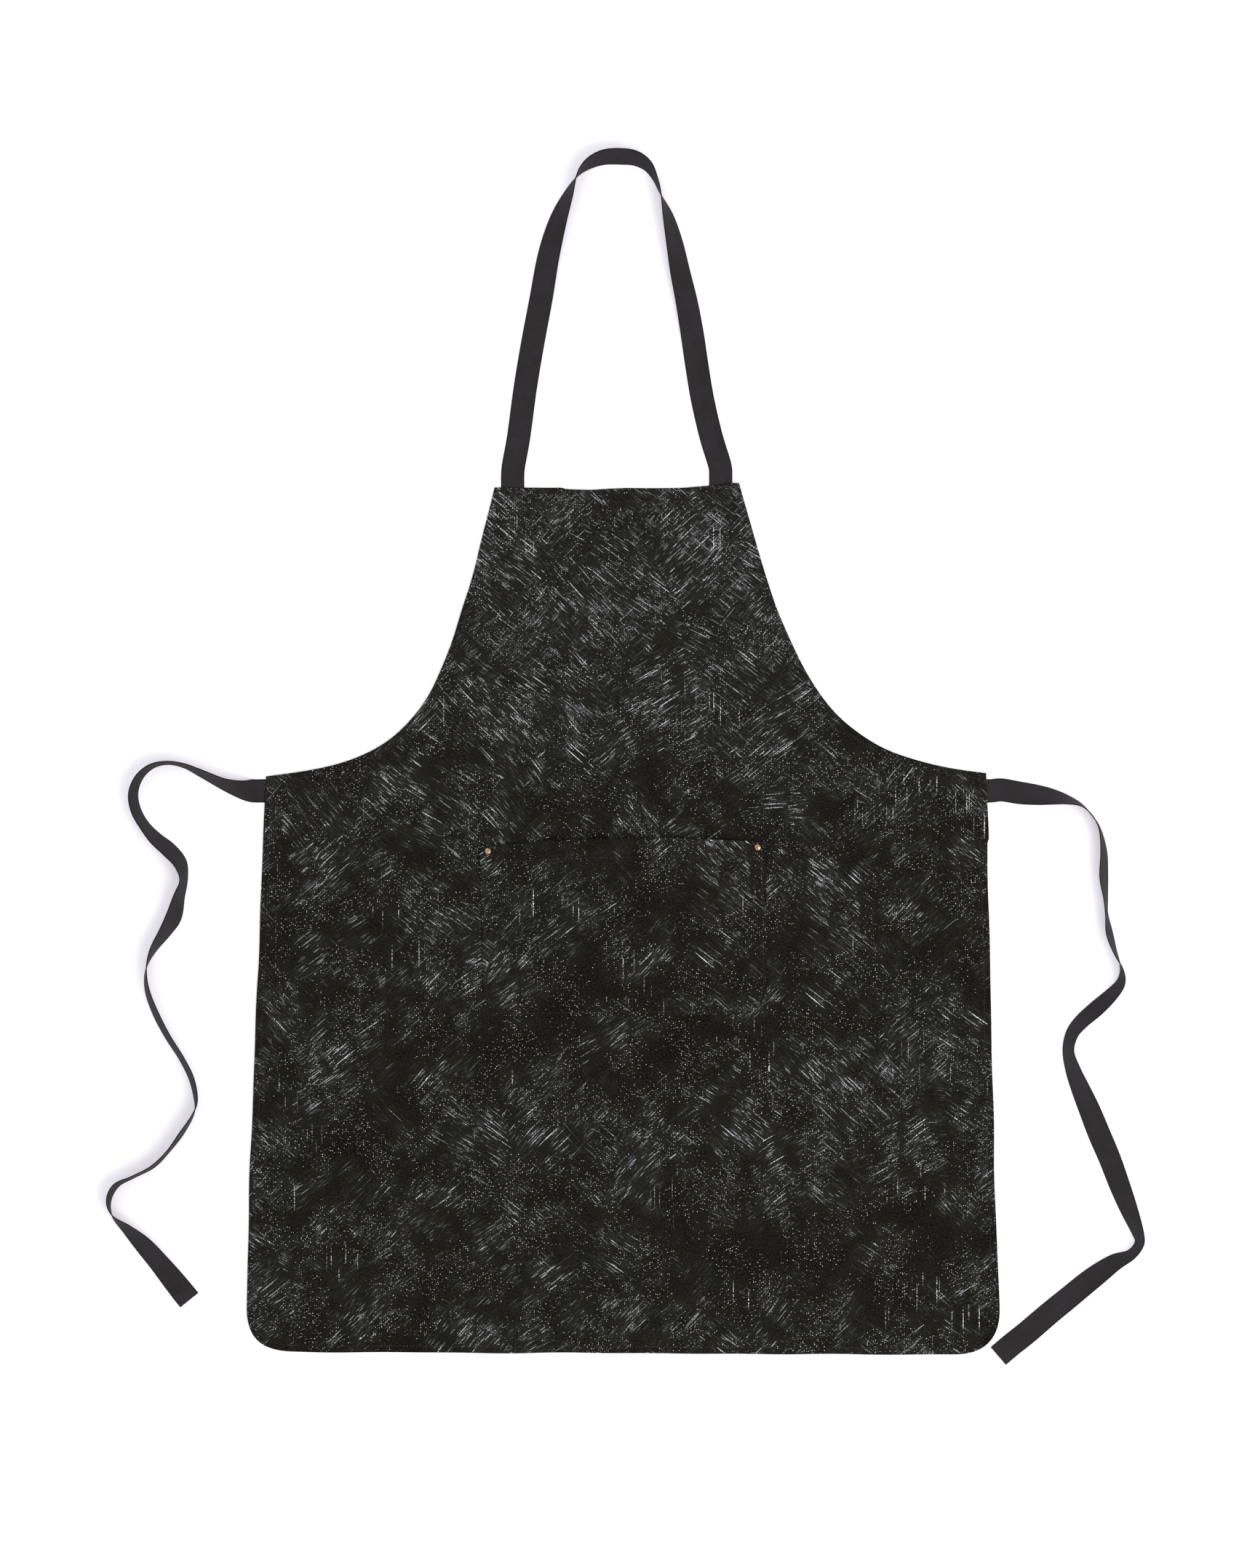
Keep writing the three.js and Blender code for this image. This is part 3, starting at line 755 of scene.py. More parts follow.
def dabCover(tree, bowed, dab):
    # One cell of the dabs: how its strokes lean, and how the paint thins out from its middle
    lean, spread = printSettings["lean"], printSettings["leanSpread"]
    place = addNode(tree, "ShaderNodeMapping", {
        "Vector": bowed, "Location": (dab["seed"], dab["seed"] / 2, 0),
        "Scale": (dab["pitch"] * mm, dab["pitch"] * mm, 1),
    }, vector_type="TEXTURE")
    cell = addNode(tree, "ShaderNodeTexVoronoi", {"Vector": place, "Scale": 1}, voronoi_dimensions="2D")
    pick = addNode(tree, "ShaderNodeSeparateXYZ", {0: cell.outputs["Color"]})
    side = addNode(tree, "ShaderNodeMapRange", {
        "Value": pick, "From Min": 0.49, "From Max": 0.51, "To Min": -lean, "To Max": lean - spread,
    })
    angle = addNode(tree, "ShaderNodeMath", {
        0: pick.outputs[1], 1: spread, 2: side,
    }, operation="MULTIPLY_ADD")
    away = addNode(tree, "ShaderNodeVectorMath", {
        0: place, 1: cell.outputs["Position"],
    }, operation="SUBTRACT")
    turned, level = (addNode(tree, "ShaderNodeVectorRotate", {
        "Vector": vector, "Angle": angle,
    }, rotation_type="Z_AXIS") for vector in (bowed, away))
    shaped = addNode(tree, "ShaderNodeVectorMath", {
        0: level, 1: printSettings["dabShape"],
    }, operation="MULTIPLY")
    far = addNode(tree, "ShaderNodeVectorMath", {0: shaped}, operation="LENGTH").outputs["Value"]
    load = addNode(tree, "ShaderNodeMapRange", {"Value": pick.outputs[2], "To Min": 0.55, "To Max": 1.0})
    fade = addNode(tree, "ShaderNodeMapRange", {"Value": far, "From Min": 0.98, "From Max": 0.02})
    return turned, addNode(tree, "ShaderNodeMath", {0: fade, 1: load}, operation="MULTIPLY")


def dabbedPaint(tree, bowed, patchy, bibLift):
    # Strokes of every dab, and the mist of paint that the cloth took between them
    strength, mist = None, None
    for dab in printSettings["dabs"]:
        turned, even = dabCover(tree, bowed, dab)
        cover = addNode(tree, "ShaderNodeMath", {0: even, 1: patchy, 2: bibLift}, operation="MULTIPLY_ADD")
        if mist is None:
            mist = cover
        else:
            room = addNode(tree, "ShaderNodeMapRange", {
                "Value": mist, "From Min": 0.3, "From Max": 0.6, "To Min": 1.0, "To Max": 0.5,
            })
            cover = addNode(tree, "ShaderNodeMath", {0: cover, 1: room}, operation="MULTIPLY")
            mist = addNode(tree, "ShaderNodeMath", {0: mist, 1: cover}, operation="MAXIMUM")
        for kind in printSettings["strokes"]:
            drawn = paintStrokes(tree, turned, kind, cover, dab["gate"] - kind["ease"], tone=kind["tone"])
            strength = drawn if strength is None else addNode(tree, "ShaderNodeMath", {
                0: strength, 1: drawn,
            }, operation="MAXIMUM")
    return strength, mist


def spattered(tree, moved):
    # Small round dots, denser in some places
    spatter = printSettings["spatter"]
    density = addNode(tree, "ShaderNodeTexNoise", {
        "Vector": moved, "Scale": 1 / spatter["patch"], "Detail": 3,
    }, noise_dimensions="2D")
    dots = addNode(tree, "ShaderNodeTexVoronoi", {
        "Vector": moved, "Scale": 1 / spatter["pitch"],
    }, voronoi_dimensions="2D")
    pick = addNode(tree, "ShaderNodeSeparateXYZ", {0: dots.outputs["Color"]})
    luck = addNode(tree, "ShaderNodeMath", {0: pick, 1: density}, operation="MULTIPLY")
    shown = addNode(tree, "ShaderNodeMath", {0: luck, 1: spatter["gate"]}, operation="GREATER_THAN")
    radius, bright = (addNode(tree, "ShaderNodeMapRange", {
        "Value": pick.outputs[channel], "To Min": low, "To Max": high,
    }) for channel, (low, high) in ((1, spatter["radius"]), (2, spatter["bright"])))
    within = addNode(tree, "ShaderNodeMath", {0: radius, 1: dots}, operation="GREATER_THAN")
    inside = addNode(tree, "ShaderNodeMath", {0: shown, 1: within}, operation="MULTIPLY")
    return addNode(tree, "ShaderNodeMath", {0: inside, 1: bright}, operation="MULTIPLY")


def dripped(tree, moved):
    # Broken chains of dots that run straight down the cloth
    drips = printSettings["drips"]
    down = addNode(tree, "ShaderNodeVectorRotate", {
        "Vector": moved, "Angle": math.pi / 2,
    }, rotation_type="Z_AXIS")
    share = blotches(tree, moved, drips["patch"], 0.42, 0.72)
    run = paintStrokes(tree, down, drips, share, drips["gate"], drips["ramp"])
    beads = blotches(tree, moved, printSettings["bead"], 0.47, 0.53)
    return addNode(tree, "ShaderNodeMath", {0: run, 1: beads}, operation="MULTIPLY")


def printedCanvas(name, shiftX=0.0, shiftY=0.0):
    # Cotton canvas dyed warm black and dry-brushed through a screen: dabs of thin
    # slanting pale strokes, spatter and broken vertical drips, all matt like the cloth
    material, tree = newMaterial(name)
    place = addNode(tree, "ShaderNodeTexCoord").outputs["Object"]
    moved = addNode(tree, "ShaderNodeMapping", {"Vector": place, "Location": (shiftX, shiftY, 0)})
    bowNoise = addNode(tree, "ShaderNodeTexNoise", {
        "Vector": moved, "Scale": 1 / printSettings["bowSize"], "Detail": 1,
    }, noise_dimensions="2D")
    bowBy = addNode(tree, "ShaderNodeVectorMath", {
        0: bowNoise.outputs["Color"], 1: (printSettings["bow"],) * 3,
    }, operation="MULTIPLY")
    bowed = addNode(tree, "ShaderNodeVectorMath", {0: moved, 1: bowBy}, operation="ADD")
    patchy = blotches(tree, bowed, printSettings["dabPatch"], 0.3, 0.65, toLow=0.45, toHigh=1.1)
    split = addNode(tree, "ShaderNodeSeparateXYZ", {0: place})
    foot, chest = printSettings["bibRise"]
    bibLift = addNode(tree, "ShaderNodeMapRange", {
        "Value": split.outputs[1], "From Min": foot, "From Max": chest,
        "To Min": 0, "To Max": printSettings["bibLift"],
    })
    strength, mist = dabbedPaint(tree, bowed, patchy, bibLift)

    # The paint only catches the tops of the threads
    tooth = blotches(tree, moved, printSettings["tooth"], 0.3, 0.54, detail=2)
    caught = addNode(tree, "ShaderNodeMath", {0: strength, 1: tooth}, operation="MULTIPLY")
    specks = addNode(tree, "ShaderNodeMath", {
        0: dripped(tree, moved), 1: spattered(tree, moved),
    }, operation="MAXIMUM")

    # Dyed ground first, then each coat over it by its own share
    worn = blotches(tree, moved, printSettings["mottle"], 0.40, 0.70, detail=2)
    paint = addNode(tree, "ShaderNodeMix", {
        0: caught, 6: linear(printSettings["stroke"]), 7: linear(printSettings["strokeBright"]),
    }, data_type="RGBA").outputs[2]
    colour = linear(printSettings["ground"])
    for share, coat in (
        (worn, linear(printSettings["groundWorn"])), (mist, linear(printSettings["mist"])),
        (caught, paint), (specks, linear(printSettings["speck"])),
    ):
        colour = addNode(tree, "ShaderNodeMix", {0: share, 6: colour, 7: coat}, data_type="RGBA").outputs[2]
    finishCloth(tree, colour, clothWeave(tree, place), 0.35, 0.2 * mm, 0.93, 0.05)
    return material


def clothWeave(tree, vector):
    # Over and under of a plain weave, with uneven yarns
    split = addNode(tree, "ShaderNodeSeparateXYZ", {0: vector})
    waves = []
    for axis in (0, 1):
        turns = addNode(tree, "ShaderNodeMath", {
            0: split.outputs[axis], 1: 2 * math.pi / printSettings["weave"],
        }, operation="MULTIPLY")
        waves.append(addNode(tree, "ShaderNodeMath", {0: turns}, operation="SINE"))
    crossed = addNode(tree, "ShaderNodeMath", {0: waves[0], 1: waves[1]}, operation="MULTIPLY")
    yarn = addNode(tree, "ShaderNodeTexNoise", {
        "Vector": vector, "Scale": 1 / printSettings["yarn"], "Detail": 3, "Roughness": 0.7,
    })
    return addNode(tree, "ShaderNodeMath", {0: crossed, 1: 0.35, 2: yarn}, operation="MULTIPLY_ADD")


def plainCanvas():
    # The unprinted back of the same canvas: the dye shows through a little paler and duller
    material, tree = newMaterial("canvasBack")
    place = addNode(tree, "ShaderNodeTexCoord").outputs["Object"]
    slub = addNode(tree, "ShaderNodeTexNoise", {
        "Vector": place, "Scale": 1 / printSettings["slub"], "Detail": 4, "Roughness": 0.65,
    })
    colour = addNode(tree, "ShaderNodeMix", {
        0: slub, 6: linear(printSettings["back"]), 7: linear(printSettings["backPale"]),
    }, data_type="RGBA")
    finishCloth(tree, colour.outputs[2], clothWeave(tree, place), 0.4, 0.2 * mm, 0.95, 0.12)
    return material


canvas = printedCanvas("dryBrushedCanvas")
canvasBack = plainCanvas()
tapes = makeTapes()
print("neck tape and waist ties are made")

# Rings crowd at the turned edge and at the seam, and so do the rows along the bib's seam
bodyRings = [0, 0.1, 0.35, 0.9, 1.8, 3.6, 5.2, 6.1, 6.6, 7.0, 7.4, 7.9, 8.8, 10.0, 11.6, 13.4]
bodyRows = [15.6, 16.4, 17.0, 17.6, 18.4, 20.0, 22.0]
body, bodyArea = clothPiece(
    "printedBody", bodyPaths, depths=np.array(bodyRings) * mm, step=5 * mm, spacing=6 * mm,
    rows=[bibTop - d * mm for d in bodyRows],
    heightOf=clothHeight, underOf=clothUnder, layOf=laidOut, materials=[canvas, canvasBack],
)
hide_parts("body_panel")
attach(body, "apron")
print("body of the apron is cut and laid out:", len(body.data.polygons), "faces")


# Hems: the cloth's own edges, turned twice to the back
def hemProfile(width):
    bend = relief["hemThickness"] / 2
    edge = relief["hemSetback"] + bend
    turn = np.linspace(-math.pi / 2, math.pi / 2, 7)
    inner = np.stack([width - bend + bend * np.cos(turn), bend + bend * np.sin(turn)], axis=1)
    outer = np.stack([edge - bend * np.cos(turn), bend - bend * np.sin(turn)], axis=1)
    return np.vstack([inner, outer])


def makeHem(name, path, start, stop, width, tieEnd):
    # An armhole's hem narrows at the end that passes above the tie
    count = max(2, int(round((stop - start) / relief["hemStep"])))
    loops = []
    for share, here in zip(np.linspace(0, 1, count + 1), np.linspace(start, stop, count + 1)):
        gap = 0.0
        if tieEnd:
            gap = relief["tieGap"] * smoothstep(share if tieEnd == "last" else 1 - share, 0.9, 0.95)
        profile = hemProfile(width - gap)
        spots = inset(path, np.full(len(profile), here), profile[:, 0][:, None])
        loops.append(np.column_stack([laidOut(spots), profile[:, 1]]))
    loops = np.array(loops)
    hem = newPiece(name, loops.reshape(-1, 3), tubeFaces(len(loops), loops.shape[1]), [canvas])
    outwards(hem)
    return hem


def runAt(path, axis, value):
    # How far along the path it first reaches a place on one axis
    fine = np.linspace(0, path[1][-1], 4000)
    return float(fine[np.abs(along(path, fine)[:, axis] - value).argmin()])


def makeHems():
    # The skirt's path starts down the left side, and the bib's runs from right to left
    hems = []
    width = relief["hem"]
    leftSide = (skirtPath[0][:20], skirtPath[1][:20])
    drop = runAt(leftSide, 1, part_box("left_side_hem")[1].y)
    corner = runAt(leftSide, 1, bottomY + cut["corner"])
    last = skirtPath[1][-1]
    gap = 0.3 * mm
    pieces = [
        ("left_side_hem", skirtPath, drop, corner - gap, width, None),
        ("bottom_hem", skirtPath, corner, last - corner, width, None),
        ("right_side_hem", skirtPath, last - corner + gap, last - drop, width, None),
    ]
    for side, path in (("left", leftArmPath), ("right", rightArmPath)):
        first = runAt(path, 1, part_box(f"{side}_armhole_hem")[1].y)
        start, stop, tieEnd = (first, path[1][-1], "last") if side == "left" else (0.0, first, "first")
        pieces.append((f"{side}_armhole_hem", path, start, stop, width, tieEnd))
    right, left = bibPath[0][0][0], bibPath[0][-1][0]
    for side in ("left", "middle", "right"):
        low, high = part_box(f"{side}_bib_hem")
        start = right - min(high.x, right - 0.5 * mm)
        stop = right - max(low.x, left + 0.5 * mm)
        pieces.append((f"{side}_bib_hem", bibPath, start, stop, relief["bibHem"], None))
    for node, *shape in pieces:
        words = node.split("_")
        hem = makeHem(words[0] + "".join(word.title() for word in words[1:]), *shape)
        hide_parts(node)
        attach(hem, "apron")
        hems.append(hem)
    return hems


hems = makeHems()
print("hems are turned:", len(hems))


# The pocket: one wide patch with a turned mouth, a little room inside and rounded corners
pocketSettings = {
    "width": 306 * mm,
    "height": 184 * mm,
    "tilt": math.radians(0.8),
    "corner": 36 * mm,
    "mouthHem": 22 * mm,
    "hemRise": 1.9 * mm,
    "seam": 8 * mm,
    "stitch": 4 * mm,
    "mouthStitch": 19 * mm,
    "room": 3.2 * mm,
    "ramp": 60 * mm,
    "bow": 6.2 * mm,              # the mouth bows up between the rivets
    "bowReach": 70 * mm,
    "aboveRivets": 5.5 * mm,      # from between the rivets up to the mouth
    "lying": 0.2 * mm,            # over the body's own cloth
    "seamWidth": 0.8 * mm,
    "seamPly": 0.5 * mm,
    "groove": 0.3 * mm,
    "swell": 0.35 * mm,
    "printShift": (0.118, -0.043),
}


def pocketPaths():
    half, height, corner = pocketSettings["width"] / 2, pocketSettings["height"], pocketSettings["corner"]
    left = bezier([(-half, corner - height), (-half, -height), (corner - half, -height)], 24)
    right = (left * (-1, 1))[::-1]
    around = measured(np.vstack([[(-half, 0)], left, right, [(half, 0)]]))
    mouth = measured([(half, 0), (-half, 0)])
    return [around, mouth]


rivetsY = (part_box("left_rivet_cap")[0].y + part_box("right_rivet_cap")[1].y) / 2
pocketMouthY = rivetsY + pocketSettings["aboveRivets"]
pocketFloor = clothTop + pocketSettings["lying"]


def inPocket(points):
    # From the pocket's own frame to the apron's
    x, y = points[:, 0], points[:, 1]
    half = pocketSettings["width"] / 2
    bow = pocketSettings["bow"] * (1 - (x / half) ** 2) * smoothstep(y, -pocketSettings["bowReach"], 0)
    y = y + bow
    turn = pocketSettings["tilt"]
    return np.stack([
        x * math.cos(turn) - y * math.sin(turn),
        x * math.sin(turn) + y * math.cos(turn) + pocketMouthY,
    ], axis=1)


def pocketRise(points):
    x, y = points[:, 0], points[:, 1]
    seam, mouth = pocketSettings["seam"], pocketSettings["mouthHem"]
    fromSide = pocketSettings["width"] / 2 - seam - np.abs(x)
    fromBottom = y + pocketSettings["height"] - seam
    room = smoothstep(np.minimum(fromSide, fromBottom) / pocketSettings["ramp"], 0, 1)
    room = room * (0.3 + 0.7 * smoothstep(y, -150 * mm, 0)) * pocketSettings["room"]
    return room + smoothstep(y, -mouth - 3 * mm, -mouth + 0.5 * mm) * pocketSettings["hemRise"]


def pocketHeight(points, depth):
    x, y = points[:, 0], points[:, 1]
    width, edge = pocketSettings["seamWidth"], pocketSettings["seam"]
    seam = bell(depth - pocketSettings["stitch"], width) * smoothstep(-y, 10 * mm, 13 * mm)
    mouthLine = bell(-y - pocketSettings["mouthStitch"], width)
    swell = swells(x * 1.7 + 0.3, y * 1.7) * pocketSettings["swell"] * smoothstep(depth, 8 * mm, 40 * mm)
    ply = pocketSettings["seamPly"] * (1 - smoothstep(depth, edge - 0.6 * mm, edge + 1.2 * mm))
    return (pocketFloor + clothThickness + pocketRise(points) + ply + swell
            - pocketSettings["groove"] * np.maximum(seam, mouthLine) - roundedEdge(depth))


def pocketUnder(points, depth):
    y = points[:, 1]
    hem = smoothstep(y, -pocketSettings["mouthHem"] - 0.6 * mm, -pocketSettings["mouthHem"])
    lip = 0.35 * mm * (1 - smoothstep(depth, 0.1 * mm, 1.2 * mm))
    top = pocketHeight(points, np.maximum(depth, relief["fold"]))
    under = top - clothThickness - hem * relief["hemThickness"] - lip
    return np.maximum(under, pocketFloor - 0.05 * mm)


pocketPrint = printedCanvas("dryBrushedPocketCanvas", *pocketSettings["printShift"])
pocketRings = [0, 0.1, 0.35, 0.9, 1.8, 2.9, 3.5, 4.0, 4.5, 5.2, 6.6, 7.6, 8.6, 10.2]
pocketRows = [17.8, 18.5, 19.0, 19.5, 20.2, 21.6, 22.8, 24.0, 25.4]
pocket, pocketArea = clothPiece(
    "pocket", pocketPaths(), depths=np.array(pocketRings) * mm, step=3.5 * mm, spacing=4 * mm,
    rows=[-d * mm for d in pocketRows],
    heightOf=pocketHeight, underOf=pocketUnder, layOf=inPocket, materials=[pocketPrint, canvasBack],
)
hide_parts("pocket_panel", "pocket_hem")
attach(pocket, "apron")
print("pocket is sewn on:", len(pocket.data.polygons), "faces")


# Stitches: one tree lays them along every seam
stitchSettings = {
    "pitch": 3.4 * mm,
    "length": 2.7 * mm,
    "width": 0.75 * mm,
    "stand": 0.3,                 # share of its width that a thread's middle stands above the cloth
    "cornerGap": 12 * mm,         # where a seam stops short of a corner
    "armholeGaps": (20 * mm, 8 * mm),
    "bibGap": 9 * mm,
    "twist": 0.8 * mm,
    "colour": "#24231f",
    "paleColour": "#3b3934",
    "seed": 11,
}
threadLift = stitchSettings["width"] * stitchSettings["stand"]


def sewingThread():
    # Spun polyester thread, black, with the slight shine and twist of a machine seam
    material, tree = newMaterial("blackSewingThread")
    place = addNode(tree, "ShaderNodeTexCoord").outputs["Object"]
    twist = addNode(tree, "ShaderNodeTexNoise", {
        "Vector": place, "Scale": 1 / stitchSettings["twist"], "Detail": 1,
    })
    colour = addNode(tree, "ShaderNodeMix", {
        0: twist, 6: linear(stitchSettings["colour"]), 7: linear(stitchSettings["paleColour"]),
    }, data_type="RGBA")
    finishCloth(tree, colour.outputs[2], twist, 0.4, 0.15 * mm, 0.6, 0.3)
    return material


def addSocket(tree, name, kind, inOut="INPUT"):
    return tree.interface.new_socket(name=name, in_out=inOut, socket_type=kind)


def stitchTree():
    tree = bpy.data.node_groups.new("stitchesAlongSeams", "GeometryNodeTree")
    addSocket(tree, "Seams", "NodeSocketGeometry")
    for name in ("Pitch", "Stitch Length", "Thread Width"):
        addSocket(tree, name, "NodeSocketFloat")
    addSocket(tree, "Seed", "NodeSocketInt")
    addSocket(tree, "Thread", "NodeSocketMaterial")
    addSocket(tree, "Stitches", "NodeSocketGeometry", "OUTPUT")
    given = addNode(tree, "NodeGroupInput")
    seams = addNode(tree, "GeometryNodeMeshToCurve", {"Mesh": given.outputs["Seams"]})
    spots = addNode(tree, "GeometryNodeResampleCurve", {
        "Curve": seams, "Length": given.outputs["Pitch"],
    }, mode="LENGTH")
    size = addNode(tree, "ShaderNodeCombineXYZ", {
        0: given.outputs["Stitch Length"],
        1: given.outputs["Thread Width"],
        2: given.outputs["Thread Width"],
    })
    ball = addNode(tree, "GeometryNodeMeshUVSphere", {"Segments": 8, "Rings": 5, "Radius": 0.5})
    stitch = addNode(tree, "GeometryNodeTransform", {"Geometry": ball, "Scale": size})
    smooth = addNode(tree, "GeometryNodeSetShadeSmooth", {"Geometry": stitch})
    way = addNode(tree, "GeometryNodeInputTangent")
    turn = addNode(tree, "FunctionNodeAlignRotationToVector", {"Vector": way}, axis="X")
    uneven = addNode(tree, "FunctionNodeRandomValue", {
        "Min": (0.86, 0.9, 0.9), "Max": (1.04, 1.1, 1.1), "Seed": given.outputs["Seed"],
    }, data_type="FLOAT_VECTOR")
    sewn = addNode(tree, "GeometryNodeInstanceOnPoints", {
        "Points": spots, "Instance": smooth,
        "Rotation": turn, "Scale": uneven,
    })
    real = addNode(tree, "GeometryNodeRealizeInstances", {"Geometry": sewn})
    finished = addNode(tree, "GeometryNodeSetMaterial", {
        "Geometry": real, "Material": given.outputs["Thread"],
    })
    addNode(tree, "NodeGroupOutput", {"Stitches": finished})
    return tree


def runTree(piece, tree, inputs):
    modifier = piece.modifiers.new("maker", "NODES")
    modifier.node_group = tree
    for item in tree.interface.items_tree:
        if item.in_out == "INPUT" and item.name in inputs:
            modifier[item.identifier] = inputs[item.name]
    graph = bpy.context.evaluated_depsgraph_get()
    made = bpy.data.meshes.new_from_object(piece.evaluated_get(graph))
    piece.modifiers.clear()
    piece.data = made
    made.name = piece.name
    return piece


def seamPiece(name, seams):
    points, edges = [], []
    for seam in seams:
        first = len(points)
        points += [tuple(p) for p in seam]
        edges += [(first + i, first + i + 1) for i in range(len(seam) - 1)]
    mesh = bpy.data.meshes.new(name)
    mesh.from_pydata(points, edges, [])
    piece = bpy.data.objects.new(name, mesh)
    scene.collection.objects.link(piece)
    return piece


def laidSeam(flat, layOf, heightOf, depth):
    # The thread lies on the cloth wherever its seam runs
    depths = np.broadcast_to(depth, len(flat))
    return np.column_stack([layOf(flat), heightOf(flat, depths) + threadLift])


def bodySeam(path, start, stop, depth):
    run = np.linspace(start, stop, max(3, int((stop - start) / (2 * mm))))
    return laidSeam(inset(path, run, depth), laidOut, clothHeight, depth)


def bibSeam():
    half = cut["bibTopHalf"] - stitchSettings["bibGap"]
    x = np.linspace(-half, half, 130) + cut["bibShift"]
    return laidSeam(flatRow(x, bibTop - relief["bibStitch"]), laidOut, clothHeight, 15 * mm)


def tackSeam(node):
    # A box of stitches with a cross in it
    low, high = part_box(node)
    first, last = (low.x, low.y), (high.x, high.y)
    path = measured([first, (high.x, low.y), last, (low.x, high.y), first, last])
    flat = along(path, np.linspace(0, path[1][-1], 60))
    return laidSeam(flat, laidOut, clothHeight, distanceTo(flat, ring(bodyPaths, [60, 60, 20, 60], 0)))


def pocketSeam():
    around = pocketPaths()[0]
    gap, depth = stitchSettings["cornerGap"], pocketSettings["stitch"]
    run = np.linspace(gap, around[1][-1] - gap, 400)
    return laidSeam(inset(around, run, depth), inPocket, pocketHeight, depth)


def mouthSeam():
    half = pocketSettings["width"] / 2 - pocketSettings["stitch"] * 1.5
    x = np.linspace(-half, half, 160)
    depth = pocketSettings["width"] / 2 - np.abs(x)
    return laidSeam(flatRow(x, -pocketSettings["mouthStitch"]), inPocket, pocketHeight, depth)


def tipSeam(name):
    # Straight across the tie where its end was turned
    line, length = tapes[name][1:3]
    path = measured(line)
    at = length - tapeSettings["tipFold"]
    here = along(path, at)
    way = (here - along(path, at - 4 * mm))[:2]
    way = way / np.linalg.norm(way)
    share = np.linspace(-1, 1, 12)[:, None]
    flat = here[:2] + np.array([way[1], -way[0]]) * share * (tapeWidth / 2 - 2.5 * mm)
    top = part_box(name.replace("Tie", "_tip_stitching"))[1].z - 0.1 * mm
    return np.column_stack([flat, np.full(len(flat), top)])


def makeStitches():
    thread = sewingThread()
    tree = stitchTree()
    inputs = {
        "Pitch": stitchSettings["pitch"], "Stitch Length": stitchSettings["length"],
        "Thread Width": stitchSettings["width"], "Seed": stitchSettings["seed"], "Thread": thread,
    }
    edge = relief["edgeStitch"]
    gap = stitchSettings["cornerGap"]
    top, foot = stitchSettings["armholeGaps"]
    tacks = [f"{side}_{kind}_tack" for side in ("left", "right") for kind in ("strap", "tie")]
    groups = {
        "hemStitches": ([
            bodySeam(skirtPath, gap, skirtPath[1][-1] - gap, edge),
            bodySeam(leftArmPath, top, leftArmPath[1][-1] - foot, edge),
            bodySeam(rightArmPath, foot, rightArmPath[1][-1] - top, edge),
            bibSeam(),
        ], ["skirt_stitching", "left_armhole_stitching", "right_armhole_stitching", "bib_stitching"]),
        "pocketStitches": ([pocketSeam(), mouthSeam()], ["pocket_stitching", "pocket_mouth_stitching"]),
        "tackStitches": ([tackSeam(tack) for tack in tacks], tacks),
        "leftTipStitches": ([tipSeam("leftTie")], ["left_tip_stitching"]),
        "rightTipStitches": ([tipSeam("rightTie")], ["right_tip_stitching"]),
    }
    made = {}
    for name, (seams, nodes) in groups.items():
        piece = runTree(seamPiece(name, seams), tree, inputs)
        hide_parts(*nodes)
        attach(piece, "apron")
        made[name] = piece
    return made


stitches = makeStitches()
print("seams are stitched:", sum(len(piece.data.polygons) for piece in stitches.values()), "faces")


# Rivets: a domed cap on the pocket's corner, closed over a flat disc behind the cloth
rivetSettings = {
    "sides": 36,
    "dome": 8,
    # the pale copper is also a painted highlight on the dome's crown, and the brown patina is also painted
    # shade on its rim
    "copper": "#cfaf8c",
    "patinaAndRimShade": "#55382a",
    "stain": 1.8 * mm,
    "post": 1.5 * mm,
    "rim": 0.35 * mm,
}


def antiqueCopper():
    # Copper-plated steel, darkened and rubbed back: warm dull metal, brown where untouched. The crown of
    # the dome, where it faces up, is also painted pale as a highlight, and the rim that slopes away is
    # painted dark as shade
    material, tree = newMaterial("antiqueCopper")
    place = addNode(tree, "ShaderNodeTexCoord")
    rubbed = blotches(tree, place.outputs["Object"], rivetSettings["stain"], 0.35, 0.6, detail=4,
                      flat=False, Roughness=0.65)
    facing = addNode(tree, "ShaderNodeSeparateXYZ", {0: place.outputs["Normal"]})
    # painted highlight: the part of the dome that faces up is coloured paler, and the sloping rim keeps the
    # dark colour as painted shade
    paintedHighlightCrown = addNode(tree, "ShaderNodeMapRange", {
        "Value": facing.outputs[2], "From Min": 0.7, "From Max": 0.98,
    })
    rubbedAndHighlighted = addNode(tree, "ShaderNodeMath", {0: rubbed, 1: paintedHighlightCrown}, operation="MULTIPLY")
    # pale copper where the metal is rubbed and where the painted highlight falls; brown patina elsewhere
    # and as painted shade at the rim
    colour = addNode(tree, "ShaderNodeMix", {
        0: rubbedAndHighlighted, 6: linear(rivetSettings["patinaAndRimShade"]), 7: linear(rivetSettings["copper"]),
    }, data_type="RGBA")
    rough = addNode(tree, "ShaderNodeMapRange", {"Value": rubbedAndHighlighted, "To Min": 0.5, "To Max": 0.26})
    shader = addNode(tree, "ShaderNodeBsdfPrincipled", {
        "Base Color": colour.outputs[2], "Metallic": 1.0, "Roughness": rough,
    })
    addNode(tree, "ShaderNodeOutputMaterial", {"Surface": shader})
    return material


